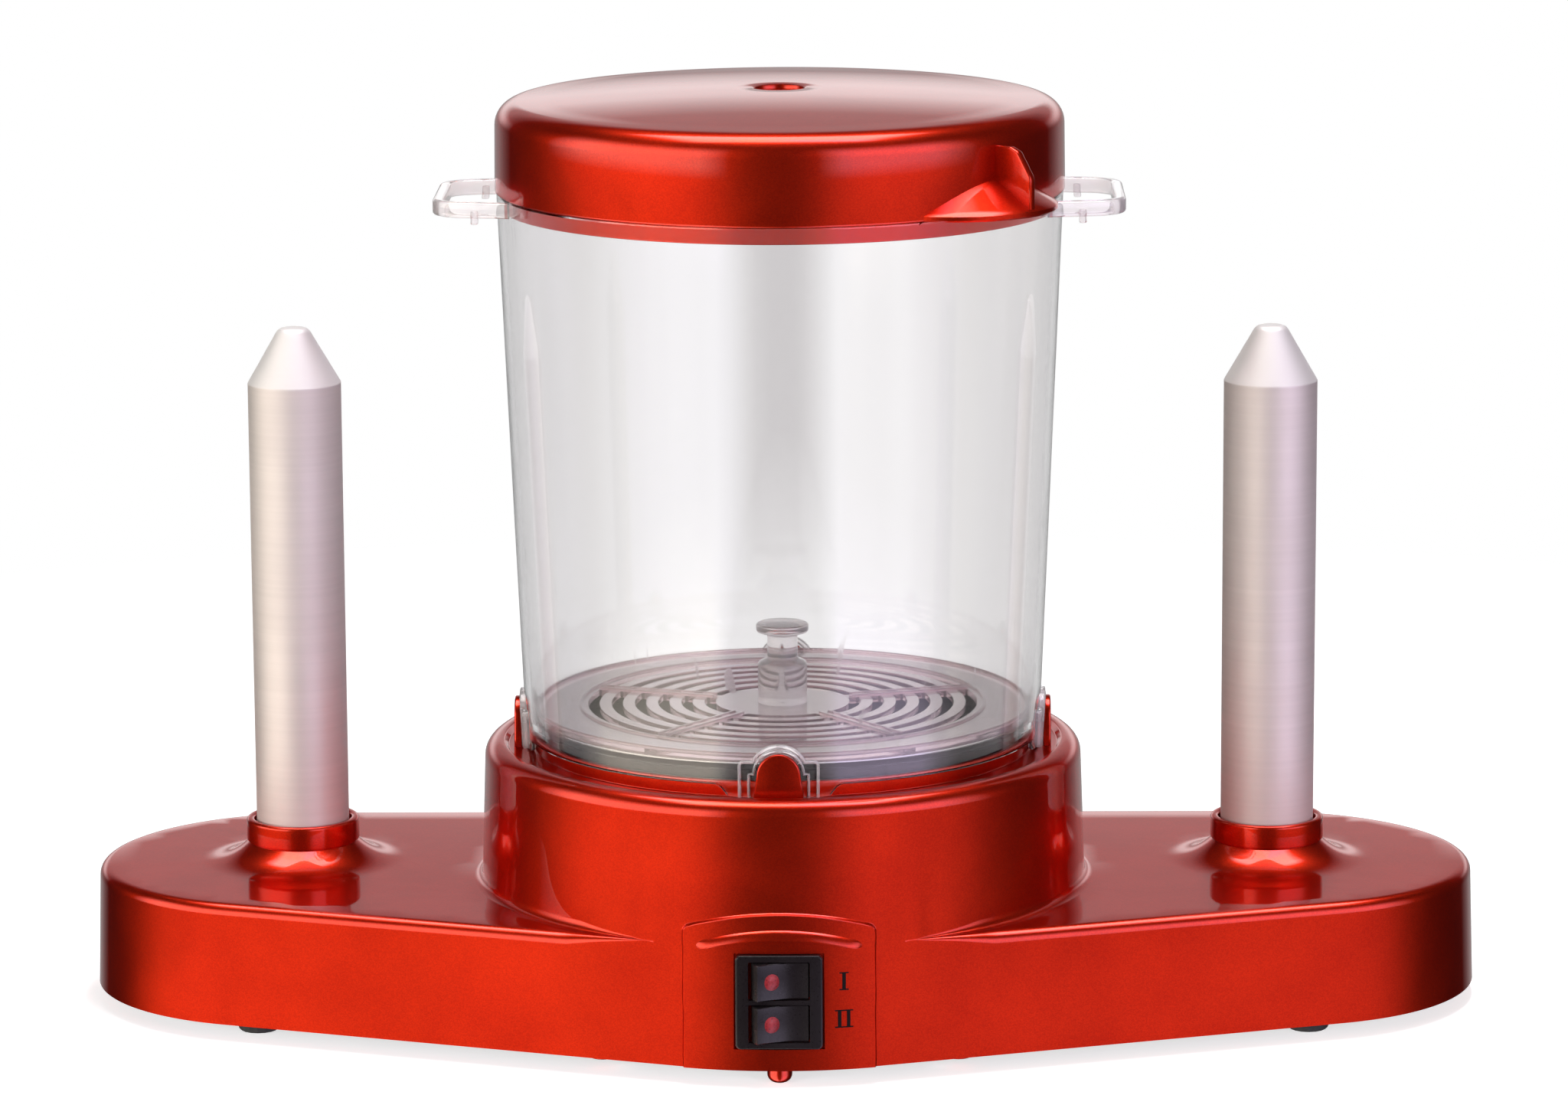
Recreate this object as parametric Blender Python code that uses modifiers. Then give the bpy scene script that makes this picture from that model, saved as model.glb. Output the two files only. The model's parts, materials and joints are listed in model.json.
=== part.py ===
"""Countertop hot dog maker: a steam drum with a clear container and lid between two warming spikes.

Metres, +Z up. The origin lies on the drum's axis at the level of the surface that the feet stand on.
+X runs to the right-hand spike and -Y to the switches at the front. The low wings and the drum are one
moulded housing. The container stands on four sides of tabs inside the drum's rim, the tray lies on a
ledge in the container, and the lid closes the container. The most skilled form is the housing: two
wings and a drum that blend into one front face, hollowed from below.
"""

import math

import bmesh
import bpy
from mathutils import Matrix, Vector

# Clearances and overruns that every piece shares
SEAT_GAP = 0.0003
RUN_GAP = 0.0005
CUT_OVERRUN = 0.005
MERGE_DISTANCE = 0.000002

# Facets: counts of straight steps in a full turn or a rounded corner
WALL_STEPS = 64
PIECE_STEPS = 32
SMALL_STEPS = 16
HOLE_STEPS = 8
CORNER_STEPS = 3
SMOOTH_ANGLE = math.radians(32)

# Base housing: plan
BASE_WIDTH = 0.420
WING_END_RADIUS = 0.063
WING_SETBACK = 0.0185
WING_X = BASE_WIDTH / 2 - WING_END_RADIUS
HOUSING_WALL = 0.0026
WING_DRAFT = math.radians(1.6)
WING_EDGE_ROUND = 0.003

# Base housing: heights above the table
EDGE_CLEARANCE = 0.005
WING_HEIGHT = 0.0365
WING_TOP = EDGE_CLEARANCE + WING_HEIGHT
DRUM_RISE = 0.0425
RIM_TOP = WING_TOP + DRUM_RISE

# Base housing: drum, whose rim goes round the foot of the container
CONTAINER_FOOT_RADIUS = 0.0771
RIM_MARGIN = 0.0124
DRUM_TAPER = 0.0028
DRUM_RIM_RADIUS = CONTAINER_FOOT_RADIUS + RIM_MARGIN
DRUM_FOOT_RADIUS = DRUM_RIM_RADIUS + DRUM_TAPER
DRUM_OVER_WING = 0.0008
RIM_ROUND = 0.0045
RIM_LAND = 0.0012
RIM_SLOPE = 0.0010
LEDGE_DROP = 0.002
LEDGE_Z = RIM_TOP - LEDGE_DROP

# Clear container
CONTAINER_FLARE = 0.0069
CONTAINER_TOP_RADIUS = CONTAINER_FOOT_RADIUS + CONTAINER_FLARE
CONTAINER_HEIGHT = 0.1674
CONTAINER_WALL = 0.0020
CONTAINER_FOOT = LEDGE_Z + SEAT_GAP
CONTAINER_TOP = CONTAINER_FOOT + CONTAINER_HEIGHT
SKIRT_LIFT = 0.0037
SKIRT_FOOT_HALF = 0.0165
TRAY_LEDGE_WIDTH = 0.0021
TRAY_LEDGE_THICKNESS = 0.0018

# Water pan and the red plinth round it
PAN_TO_LEDGE_GAP = 0.0010
PAN_RADIUS = CONTAINER_FOOT_RADIUS - CONTAINER_WALL - TRAY_LEDGE_WIDTH - PAN_TO_LEDGE_GAP
PAN_WALL = 0.0012
PAN_ROUND = 0.003
PAN_SHOW = 0.0052
PLINTH_RISE = 0.005
PLINTH_WALL = 0.0022
PLINTH_TOP = LEDGE_Z + PLINTH_RISE
PAN_RIM = PLINTH_TOP + PAN_SHOW
PAN_GUIDE_GAP = 0.0004
SHELF_WIDTH = 0.012
SHELF_THICKNESS = 0.0025
SHELF_DROP = 0.001
SHELF_TOP = LEDGE_Z - SHELF_DROP
GASKET_THICKNESS = 0.0010
GASKET_WIDTH = 0.006
PAN_FLOOR = SHELF_TOP + SEAT_GAP + GASKET_THICKNESS + SEAT_GAP
PAN_STUD_RADIUS = 0.003
PAN_STUD_LENGTH = 0.0145

# Heating ring and the parts that clamp it under the pan
RING_RADIUS = 0.046
RING_TUBE_RADIUS = 0.00325
RING_GAP_ANGLE = math.radians(44)
RING_TAIL = 0.010
RING_EASE_SHARE = 1.2
BAR_WIDTH = 0.016
BAR_THICKNESS = 0.0024
BAR_PAD_LENGTH = 0.006
BAR_PAD_OVERLAP = 0.005
NUT_RADIUS = 0.0055
NUT_HEIGHT = 0.004
THERMOSTAT_RADIUS = 0.008
THERMOSTAT_HEIGHT = 0.006
THERMOSTAT_OFFSET = 0.024
FUSE_RADIUS = 0.0022
FUSE_LENGTH = 0.014

# Tabs that hold the container on the housing
TAB_WIDTH = 0.0157
TAB_HEIGHT = 0.014
TAB_THICKNESS = 0.0024
TAB_TIP_THICKNESS = 0.0014
TAB_TIP_RADIUS = 0.0064
TAB_GAP = 0.0006
POCKET_GAP = 0.0016
POCKET_RIB = 0.0014
POCKET_DEPTH = 0.0024
QUARTER_TURNS = 4

# Container handles
HANDLE_REACH = 0.018
HANDLE_SPAN = 0.058
HANDLE_BAR = 0.0035
HANDLE_HEIGHT = 0.0047
HANDLE_CORNER = 0.009
HANDLE_SPLAY = 0.004

# Steam tray
TRAY_THICKNESS = 0.0019
TRAY_BOTTOM = PAN_RIM + SEAT_GAP
TRAY_TOP = TRAY_BOTTOM + TRAY_THICKNESS
TRAY_SLOT_REACH = 0.0585
TRAY_SLOT_WIDTH = 0.0034
TRAY_SLOT_PITCH = 0.0070
TRAY_SLOT_RINGS = 6
TRAY_SPOKE = 0.0040
TRAY_SPOKES = 5
TRAY_SPOKE_START = math.radians(90)
TRAY_POST_RADIUS = 0.0074
TRAY_POST_HEIGHT = 0.0128
TRAY_NECK_RADIUS = 0.0046
TRAY_NECK_HEIGHT = 0.0088
TRAY_KNOB_RADIUS = 0.0079
TRAY_KNOB_HEIGHT = 0.0025

# Lid
LID_SIDE_OVERHANG = 0.0005
LID_RADIUS = CONTAINER_TOP_RADIUS + LID_SIDE_OVERHANG
LID_BOTTOM = CONTAINER_TOP + SEAT_GAP
LID_HEIGHT = 0.0265
LID_DOME = 0.0035
LID_ROUND = 0.0075
LID_WALL = 0.0024
LID_SKIRT_DEPTH = 0.0034
LID_SKIRT_WALL = 0.0018
LID_SKIRT_GAP = 0.0006
STEAM_HOLE_RADIUS = 0.0073
STEAM_HOLE_ROUND = 0.0010

# Grips on the lid: a sloped cone-shaped visor with an upright fin
GRIP_REACH = 0.0135
GRIP_CONE_RADIUS = 0.030
GRIP_SLOPE_RISE = 0.0178
GRIP_EDGE = 0.0018
GRIP_ANGLES = (math.radians(-41), math.radians(139))
FIN_THICKNESS = 0.0024
FIN_TOP = 0.0198
FIN_SHOULDER_REACH_SHARE = 0.55
FIN_SHOULDER_DROP = 0.0010
FIN_CORNER_DROP = 0.0085

# Warming spikes
SPIKE_RADIUS = 0.01405
SPIKE_WALL = 0.0016
SPIKE_TIP_Z = 0.2055
SPIKE_CONE_HEIGHT = 0.0167
SPIKE_NOSE_RADIUS = 0.0040
SPIKE_SHOULDER_ROUND = 0.0015
SPIKE_FOOT_FLARE = 0.0020
SPIKE_FOOT_THICKNESS = 0.0017
CORE_TOP_GAP = 0.006

# Collars that the spikes rise from
COLLAR_GAP = 0.0006
COLLAR_WALL = 0.0025
COLLAR_HEIGHT = 0.0090
COLLAR_FLARE_HEIGHT = 0.0042
COLLAR_FLARE_REACH = 0.0145
COLLAR_NECK = 0.0005
COLLAR_EDGE = 0.0007
FLARE_STEPS = 4
FLARE_SWEEP = math.radians(80)

# Flange, seal and screws that hold each spike under its wing
FLANGE_RADIUS = 0.0245
FLANGE_THICKNESS = 0.0020
FLANGE_DROP = 0.0049
FLANGE_EAR_OFFSET = 0.0205
SEAL_WALL = 0.0022
SCREW_RADIUS = 0.0014
SCREW_HEAD_RADIUS = 0.0031
SCREW_HEAD_HEIGHT = 0.0018
SCREW_GRIP = 0.0035
PILOT_GAP = 0.0003
BOSS_RADIUS = 0.0042
FLANGE_BOSS_RADIUS = 0.0036

# Bottom cover
COVER_LIFT = 0.0006
COVER_THICKNESS = 0.0024
COVER_GAP = 0.0005
COVER_BOTTOM = EDGE_CLEARANCE + COVER_LIFT
COVER_TOP = COVER_BOTTOM + COVER_THICKNESS
VENT_COUNT = 5
VENT_PITCH = 0.009
VENT_WIDTH = 0.003
VENT_LENGTH = 0.046
BOSS_RING_INSET = 0.0064
BOSS_REAR_ANGLE = math.radians(58)
BOSS_FRONT_ANGLE = math.radians(-56)
WING_BOSS_SHARE = 0.66

# Feet
FOOT_RADIUS = 0.0065
FOOT_ROUND = 0.0020
FOOT_STEM_RADIUS = 0.0020
FOOT_STEM_RISE = 0.0012
FOOT_OFFSET = 0.010
FOOT_FRONT_REACH = 0.047
FOOT_REAR_REACH = 0.040
FOOT_X = WING_X + FOOT_OFFSET
FOOT_FRONT_Y = WING_SETBACK - FOOT_FRONT_REACH
FOOT_REAR_Y = WING_SETBACK + FOOT_REAR_REACH
STUD_FOOT_RADIUS = 0.0037
STUD_FOOT_Y_INSET = 0.0058
LUG_RADIUS = 0.0042
LUG_X = 0.052
LUG_DROP = 0.0013
LUG_EDGE_INSET = 0.0030

# Switch panel on the front
PANEL_HALF = 0.0278
PANEL_CORNER_Z = 0.0468
PANEL_CROWN = 0.0044
PANEL_CORNER = 0.003
PANEL_RISE = 0.0010
PANEL_REACH_BACK = 0.030
BROW_HALF = 0.0240
BROW_END_Z = 0.0400
BROW_LOWER_CROWN = 0.0036
BROW_UPPER_CROWN = 0.0062
BROW_END_THICKNESS = 0.0012
BROW_RISE = 0.0022
BROW_STEPS = 8

# Twin rocker switch
BEZEL_WIDTH = 0.0254
BEZEL_HEIGHT = 0.0280
BEZEL_Z = 0.0255
BEZEL_CORNER = 0.0015
BEZEL_THICKNESS = 0.0022
BEZEL_SEAT_SINK = 0.0004295
SWITCH_BODY_WIDTH = 0.0218
SWITCH_BODY_HEIGHT = 0.0262
SWITCH_BODY_DEPTH = 0.0180
SWITCH_HOLE_GAP = 0.0003
BAY_WIDTH = 0.0178
BAY_HEIGHT = 0.0114
BAY_DEPTH = 0.0100
BAY_WEB = 0.0013
ROCKER_CORNER_X = 0.0074
ROCKER_CORNER_Y = 0.0044
ROCKER_DIP_Y = 0.0030
ROCKER_WAIST_X = 0.0084
ROCKER_WAIST_Y = 0.0011
ROCKER_FLANK_DRAW = 0.0003
ROCKER_FLANK_Y = 0.0008
ROCKER_HEEL_X = 0.0052
ROCKER_HEEL_Y = 0.0046
ROCKER_HEIGHT = 0.0108
ROCKER_TILT = math.radians(15)
ROCKER_PIN_RADIUS = 0.0010
ROCKER_PIN_REACH = 0.0006
LENS_RADIUS = 0.00255
LENS_DOME = 0.0006
LENS_SEAT = 0.0012
LENS_OFFSET = 0.0030
BLADE_WIDTH = 0.0048
BLADE_THICKNESS = 0.0008
BLADE_LENGTH = 0.0080
BLADE_SPREAD = 0.0120

# Mains entry and wiring inside the housing
BUSH_Z = 0.0190
BUSH_RADIUS = 0.0055
BUSH_FLANGE_RADIUS = 0.0085
BUSH_FLANGE_THICKNESS = 0.0035
BUSH_SEAT_SINK = 0.0005
BUSH_LENGTH = 0.0080
BUSH_BORE_RADIUS = 0.0035
BUSH_EDGE = 0.0007
BLOCK_WIDTH = 0.030
BLOCK_DEPTH = 0.014
BLOCK_HEIGHT = 0.011
BLOCK_Y = 0.058
BLOCK_HOLE_RADIUS = 0.0021
BLOCK_HOLES = 3
BLOCK_HOLE_PITCH = 0.0090

# Values worked out from the sizes above
DRUM_SLOPE = (DRUM_FOOT_RADIUS - DRUM_RIM_RADIUS) / (RIM_TOP - RIM_ROUND - EDGE_CLEARANCE)
WING_BULGE_RADIUS = DRUM_FOOT_RADIUS - DRUM_OVER_WING
PLINTH_INNER = PAN_RADIUS + PAN_GUIDE_GAP
PLINTH_OUTER = PLINTH_INNER + PLINTH_WALL
SHELF_INNER = PLINTH_OUTER - SHELF_WIDTH
CAVITY_TOP = WING_TOP - HOUSING_WALL
SPIKE_HOLE_RADIUS = SPIKE_RADIUS + COLLAR_GAP
COLLAR_RADIUS = SPIKE_HOLE_RADIUS + COLLAR_WALL
FLANGE_TOP = CAVITY_TOP - FLANGE_DROP
FLANGE_BOTTOM = FLANGE_TOP - FLANGE_THICKNESS
BOSS_BOTTOM = COVER_TOP + SEAT_GAP
SIDES = {"left": -1, "right": 1}


def drum_radius(z):
    """Outer radius of the drum's drafted side at height z."""
    return DRUM_FOOT_RADIUS - (z - EDGE_CLEARANCE) * DRUM_SLOPE


def container_radius(z):
    """Outer radius of the container's tapered wall at height z."""
    share = (z - CONTAINER_FOOT) / CONTAINER_HEIGHT
    return CONTAINER_FOOT_RADIUS + (CONTAINER_TOP_RADIUS - CONTAINER_FOOT_RADIUS) * share


def clear_scene():
    """Removes what the scene holds before the model is made."""
    for item in list(bpy.data.objects):
        bpy.data.objects.remove(item, do_unlink=True)


def make_collection(name):
    """A new collection linked to the scene."""
    collection = bpy.data.collections.new(name)
    bpy.context.scene.collection.children.link(collection)
    return collection


clear_scene()
PARTS = make_collection("hot_dog_maker")
TOOLS = make_collection("cutters_and_adders")


# Materials

def make_material(name, colour, roughness, metallic=0.0, transmission=0.0, coat=0.0):
    """A Principled material with the part's colour and surface values."""
    material = bpy.data.materials.new(name)
    material.use_nodes = True
    shader = material.node_tree.nodes["Principled BSDF"]
    shader.inputs["Base Color"].default_value = (*colour, 1.0)
    shader.inputs["Roughness"].default_value = roughness
    shader.inputs["Metallic"].default_value = metallic
    shader.inputs["Transmission Weight"].default_value = transmission
    shader.inputs["Coat Weight"].default_value = coat
    return material


RED_GLOSS = make_material("red_gloss", (0.55, 0.03, 0.02), 0.25, metallic=0.5, coat=1.0)
CLEAR_PLASTIC = make_material("clear_plastic", (0.93, 0.92, 0.92), 0.05, transmission=1.0)
SATIN_ALUMINIUM = make_material("satin_aluminium", (0.78, 0.75, 0.73), 0.35, metallic=1.0)
PAN_METAL = make_material("pan_metal", (0.42, 0.41, 0.42), 0.40, metallic=1.0)
STEEL = make_material("steel", (0.60, 0.60, 0.60), 0.35, metallic=1.0)
BRASS = make_material("brass", (0.75, 0.60, 0.30), 0.35, metallic=1.0)
BLACK_PLASTIC = make_material("black_plastic", (0.025, 0.025, 0.025), 0.40)
BLACK_RUBBER = make_material("black_rubber", (0.02, 0.02, 0.02), 0.80)
RED_LENS = make_material("red_lens", (0.35, 0.02, 0.02), 0.15, coat=0.5)
SILICONE = make_material("silicone", (0.60, 0.58, 0.55), 0.60)
CERAMIC = make_material("ceramic", (0.80, 0.77, 0.70), 0.70)


# Tools that the pieces are made with

def link(item, collection):
    """Puts an object in one of the model's collections."""
    collection.objects.link(item)
    if collection is TOOLS:
        item.hide_render = True
        item.display_type = "WIRE"
    return item


def rounded(corner, before, after, radius, steps=CORNER_STEPS):
    """Points of an arc that rounds the corner between two straight stretches."""
    corner = Vector(corner)
    to_before = (Vector(before) - corner).normalized()
    to_after = (Vector(after) - corner).normalized()
    half = math.acos(max(-1.0, min(1.0, to_before.dot(to_after)))) / 2
    reach = radius / math.tan(half)
    centre = corner + (to_before + to_after).normalized() * (radius / math.sin(half))
    first = corner + to_before * reach - centre
    last = corner + to_after * reach - centre
    turn = first.angle_signed(last)
    points = []
    for step in range(steps + 1):
        angle = -turn * step / steps
        spun = Matrix.Rotation(angle, 2) @ first
        points.append(tuple(centre + spun))
    return points


def turned(name, profile, collection, steps=PIECE_STEPS, place=(0, 0, 0)):
    """A profile of (radius, height) points carried round Z with a Screw modifier.

    The profile runs down its outer side. It is closed unless both ends lie on the axis.
    """
    count = len(profile)
    closed = profile[0][0] > 0 or profile[-1][0] > 0
    edges = [(index, index + 1) for index in range(count - 1)]
    if closed:
        edges.append((count - 1, 0))
    mesh = bpy.data.meshes.new(name)
    mesh.from_pydata([(radius, 0, height) for radius, height in profile], edges, [])
    item = link(bpy.data.objects.new(name, mesh), collection)
    item.location = place
    screw = item.modifiers.new("turn", "SCREW")
    screw.steps = steps
    screw.render_steps = steps
    screw.use_merge_vertices = True
    screw.merge_threshold = MERGE_DISTANCE
    return item


def mesh_from_curve(item, collection):
    """Makes a curve object a mesh object in the same place, with its caps welded on."""
    bpy.context.view_layer.update()
    evaluated = item.evaluated_get(bpy.context.evaluated_depsgraph_get())
    mesh = bpy.data.meshes.new_from_object(evaluated)
    work = bmesh.new()
    work.from_mesh(mesh)
    bmesh.ops.remove_doubles(work, verts=work.verts, dist=MERGE_DISTANCE)
    bmesh.ops.recalc_face_normals(work, faces=work.faces)
    work.to_mesh(mesh)
    work.free()
    solid = bpy.data.objects.new(item.name + "_solid", mesh)
    solid.matrix_world = item.matrix_world.copy()
    name = item.name
    bpy.data.objects.remove(item, do_unlink=True)
    solid.name = name
    return link(solid, collection)


def plate(name, outlines, low, high, collection, facing_front=False):
    """Flat outlines filled and given thickness. Later outlines cut holes in the first.

    It lies flat between two heights, or stands facing the front between two distances from the axis.
    """
    curve = bpy.data.curves.new(name, "CURVE")
    curve.dimensions = "2D"
    curve.fill_mode = "BOTH"
    curve.render_resolution_u = 0
    curve.extrude = (high - low) / 2
    for outline in outlines:
        spline = curve.splines.new("POLY")
        spline.points.add(len(outline) - 1)
        for point, (x, y) in zip(spline.points, outline):
            point.co = (x, y, 0, 1)
        spline.use_cyclic_u = True
    item = bpy.data.objects.new(name, curve)
    bpy.context.scene.collection.objects.link(item)
    middle = (low + high) / 2
    if facing_front:
        item.rotation_euler = (math.radians(90), 0, 0)
        item.location = (0, -middle, 0)
    else:
        item.location = (0, 0, middle)
    return mesh_from_curve(item, collection)


def box(name, centre, size, collection, turn=0.0):
    """A cuboid that starts as a unit cube and has its scale applied."""
    mesh = bpy.data.meshes.new(name)
    work = bmesh.new()
    bmesh.ops.create_cube(work, size=1)
    bmesh.ops.scale(work, vec=size, verts=work.verts)
    work.to_mesh(mesh)
    work.free()
    item = link(bpy.data.objects.new(name, mesh), collection)
    item.location = centre
    item.rotation_euler = (0, 0, turn)
    return item


def rod(name, radius, start, end, collection, steps=SMALL_STEPS):
    """A straight round bar between two points, from a cylinder primitive."""
    start = Vector(start)
    end = Vector(end)
    mesh = bpy.data.meshes.new(name)
    work = bmesh.new()
    bmesh.ops.create_cone(
        work, cap_ends=True, segments=steps, radius1=radius, radius2=radius, depth=(end - start).length
    )
    work.to_mesh(mesh)
    work.free()
    item = link(bpy.data.objects.new(name, mesh), collection)
    item.location = (start + end) / 2
    item.rotation_euler = (end - start).to_track_quat("Z", "Y").to_euler()
    return item


def tube(name, points, radius, collection, sides=2):
    """A round wire along a list of points, made a closed mesh."""
    curve = bpy.data.curves.new(name, "CURVE")
    curve.dimensions = "3D"
    curve.bevel_depth = radius
    curve.bevel_resolution = sides
    curve.render_resolution_u = 0
    curve.use_fill_caps = True
    spline = curve.splines.new("POLY")
    spline.points.add(len(points) - 1)
    for point, place in zip(spline.points, points):
        point.co = (*place, 1)
    item = bpy.data.objects.new(name, curve)
    bpy.context.scene.collection.objects.link(item)
    return mesh_from_curve(item, collection)


def combine(target, tool, operation, solver="EXACT"):
    """Adds a Boolean modifier that joins, cuts or trims the target with a helper object."""
    modifier = target.modifiers.new(tool.name, "BOOLEAN")
    modifier.object = tool
    modifier.operation = operation
    modifier.solver = solver


def join(target, *tools, solver="EXACT"):
    """Unions helper objects with the target."""
    for tool in tools:
        combine(target, tool, "UNION", solver)


def cut(target, *tools, solver="EXACT"):
    """Cuts helper objects out of the target."""
    for tool in tools:
        combine(target, tool, "DIFFERENCE", solver)


def settle(item, material):
    """Fixes a piece's evaluated mesh, shades it smooth where it is round, and gives it its material."""
    bpy.context.view_layer.update()
    evaluated = item.evaluated_get(bpy.context.evaluated_depsgraph_get())
    mesh = bpy.data.meshes.new_from_object(evaluated)
    work = bmesh.new()
    work.from_mesh(mesh)
    bmesh.ops.remove_doubles(work, verts=work.verts, dist=MERGE_DISTANCE)
    bmesh.ops.dissolve_degenerate(work, edges=work.edges, dist=MERGE_DISTANCE)
    work.to_mesh(mesh)
    work.free()
    item.modifiers.clear()
    item.data = mesh
    mesh.name = item.name
    mesh.materials.clear()
    mesh.materials.append(material)
    mesh.shade_smooth()
    mesh.set_sharp_from_angle(angle=SMOOTH_ANGLE)
    return item


def rectangle(width, height, corner=0.0, centre=(0, 0)):
    """A rectangle's outline with rounded corners."""
    x, y = width / 2, height / 2
    corners = [(-x, -y), (x, -y), (x, y), (-x, y)]
    points = []
    for index, point in enumerate(corners):
        if corner > 0:
            points += rounded(point, corners[index - 1], corners[(index + 1) % 4], corner)
        else:
            points.append(point)
    return [(centre[0] + px, centre[1] + py) for px, py in points]


def circle(radius, steps, centre=(0, 0)):
    """Points on a circle."""
    points = []
    for step in range(steps):
        angle = math.tau * step / steps
        points.append((centre[0] + radius * math.cos(angle), centre[1] + radius * math.sin(angle)))
    return points


def spun(item, angle):
    """Turns a helper about the drum's axis by baking the turn into its place."""
    item.matrix_world = Matrix.Rotation(angle, 4, "Z") @ item.matrix_world
    return item


# Base housing

def front_normal():
    """Angle of the normal of the straight front edge between drum and right wing end."""
    distance = math.hypot(WING_X, WING_SETBACK)
    lean = math.acos((WING_BULGE_RADIUS - WING_END_RADIUS) / distance)
    return math.atan2(WING_SETBACK, WING_X) - lean


def plan_outline(inset):
    """The base's outline seen from above, drawn in by an inset, counterclockwise from the front.

    An arc round the drum, a straight front edge, an arc round the wing's end and a straight back.
    """
    normal = front_normal()
    bulge = WING_BULGE_RADIUS - inset
    end = WING_END_RADIUS - inset
    half = []
    for step in range(1, 2 * CORNER_STEPS + 1):
        angle = -math.pi / 2 + (normal + math.pi / 2) * step / (2 * CORNER_STEPS)
        half.append((bulge * math.cos(angle), bulge * math.sin(angle)))
    steps = PIECE_STEPS // 2
    for step in range(steps + 1):
        angle = normal + (math.pi / 2 - normal) * step / steps
        half.append((WING_X + end * math.cos(angle), WING_SETBACK + end * math.sin(angle)))
    left = [(-x, y) for x, y in reversed(half)]
    return left + [(0, -bulge)] + half


def wing_block(name, inset, low, high, edge_round, steps):
    """The wings' closed volume: the plan outline drafted upwards, its top edge rounded."""
    sections = [(low, inset + (low - EDGE_CLEARANCE) * math.tan(WING_DRAFT))]
    for step in range(steps + 1):
        angle = math.pi / 2 * step / steps
        height = high - edge_round + edge_round * math.sin(angle)
        draw = edge_round - edge_round * math.cos(angle)
        sections.append((height, inset + draw + (height - EDGE_CLEARANCE) * math.tan(WING_DRAFT)))
    work = bmesh.new()
    rings = []
    for height, draw in sections:
        rings.append([work.verts.new((x, y, height)) for x, y in plan_outline(draw)])
    count = len(rings[0])
    for lower, upper in zip(rings, rings[1:]):
        for index in range(count):
            following = (index + 1) % count
            work.faces.new((lower[index], lower[following], upper[following], upper[index]))
    work.faces.new(list(reversed(rings[0])))
    work.faces.new(rings[-1])
    mesh = bpy.data.meshes.new(name)
    work.to_mesh(mesh)
    work.free()
    return link(bpy.data.objects.new(name, mesh), TOOLS)


def drum_body():
    """The drum's turned volume with its rounded rim, ledge, plinth and inner shelf."""
    rim_corner = (drum_radius(RIM_TOP), RIM_TOP)
    land = DRUM_RIM_RADIUS - RIM_ROUND - RIM_LAND
    foot = (drum_radius(EDGE_CLEARANCE), EDGE_CLEARANCE)
    profile = [(land, RIM_TOP)]
    profile += rounded(rim_corner, (land, RIM_TOP), foot, RIM_ROUND, steps=CORNER_STEPS + 1)
    profile += [
        (drum_radius(WING_TOP), WING_TOP),
        foot,
        (SHELF_INNER, EDGE_CLEARANCE),
        (SHELF_INNER, SHELF_TOP),
        (PLINTH_INNER, SHELF_TOP),
        (PLINTH_INNER, PLINTH_TOP),
        (PLINTH_OUTER, PLINTH_TOP),
        (PLINTH_OUTER, LEDGE_Z),
        (land - RIM_SLOPE, LEDGE_Z),
    ]
    return turned("base_housing", profile, PARTS, WALL_STEPS)


def drum_cavity():
    """The hollow under the drum's ledge and shelf, open below."""
    low = EDGE_CLEARANCE - CUT_OVERRUN
    top = SHELF_TOP - SHELF_THICKNESS
    profile = [
        (0, top),
        (drum_radius(top) - HOUSING_WALL, top),
        (drum_radius(low) - HOUSING_WALL, low),
        (0, low),
    ]
    return turned("drum_cavity", profile, TOOLS, WALL_STEPS)


def front_relief(name, outline, rise):
    """A raised shape on the housing's front: an outline trimmed to the drafted side plus a rise."""
    shape = plate(name, [outline], DRUM_RIM_RADIUS - PANEL_REACH_BACK, DRUM_FOOT_RADIUS + CUT_OVERRUN,
                  TOOLS, facing_front=True)
    top = PANEL_CORNER_Z + PANEL_CROWN + CUT_OVERRUN
    low = EDGE_CLEARANCE + SEAT_GAP
    root = HOUSING_WALL / 2
    profile = [
        (drum_radius(top) - root, top),
        (drum_radius(top) + rise, top),
        (drum_radius(low) + rise, low),
        (drum_radius(low) - root, low),
    ]
    skin = turned(name + "_skin", profile, TOOLS, WALL_STEPS)
    combine(shape, skin, "INTERSECT")
    return shape


def arch(half, end_height, crown, steps):
    """Points of a shallow circular arch between two ends, from left to right."""
    radius = (half * half + crown * crown) / (2 * crown)
    sweep = math.asin(half / radius)
    points = []
    for step in range(steps + 1):
        angle = -sweep + 2 * sweep * step / steps
        points.append((radius * math.sin(angle), end_height + crown - radius + radius * math.cos(angle)))
    return points


def panel_relief():
    """The raised switch panel: straight sides from the lower edge and an arched top."""
    top = arch(PANEL_HALF, PANEL_CORNER_Z, PANEL_CROWN, BROW_STEPS)
    corner_right = rounded(top[-1], top[-2], (PANEL_HALF, EDGE_CLEARANCE), PANEL_CORNER / 2)
    corner_left = rounded(top[0], (-PANEL_HALF, EDGE_CLEARANCE), top[1], PANEL_CORNER / 2)
    low = EDGE_CLEARANCE - CUT_OVERRUN
    outline = [(-PANEL_HALF, low)] + corner_left + top[1:-1] + corner_right + [(PANEL_HALF, low)]
    return front_relief("switch_panel", outline, PANEL_RISE)


def brow_relief():
    """The crescent ridge that shades the switches."""
    lower = arch(BROW_HALF, BROW_END_Z, BROW_LOWER_CROWN, BROW_STEPS)
    upper = arch(BROW_HALF, BROW_END_Z + BROW_END_THICKNESS, BROW_UPPER_CROWN, BROW_STEPS)
    return front_relief("switch_brow", lower + list(reversed(upper)), BROW_RISE)


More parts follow.
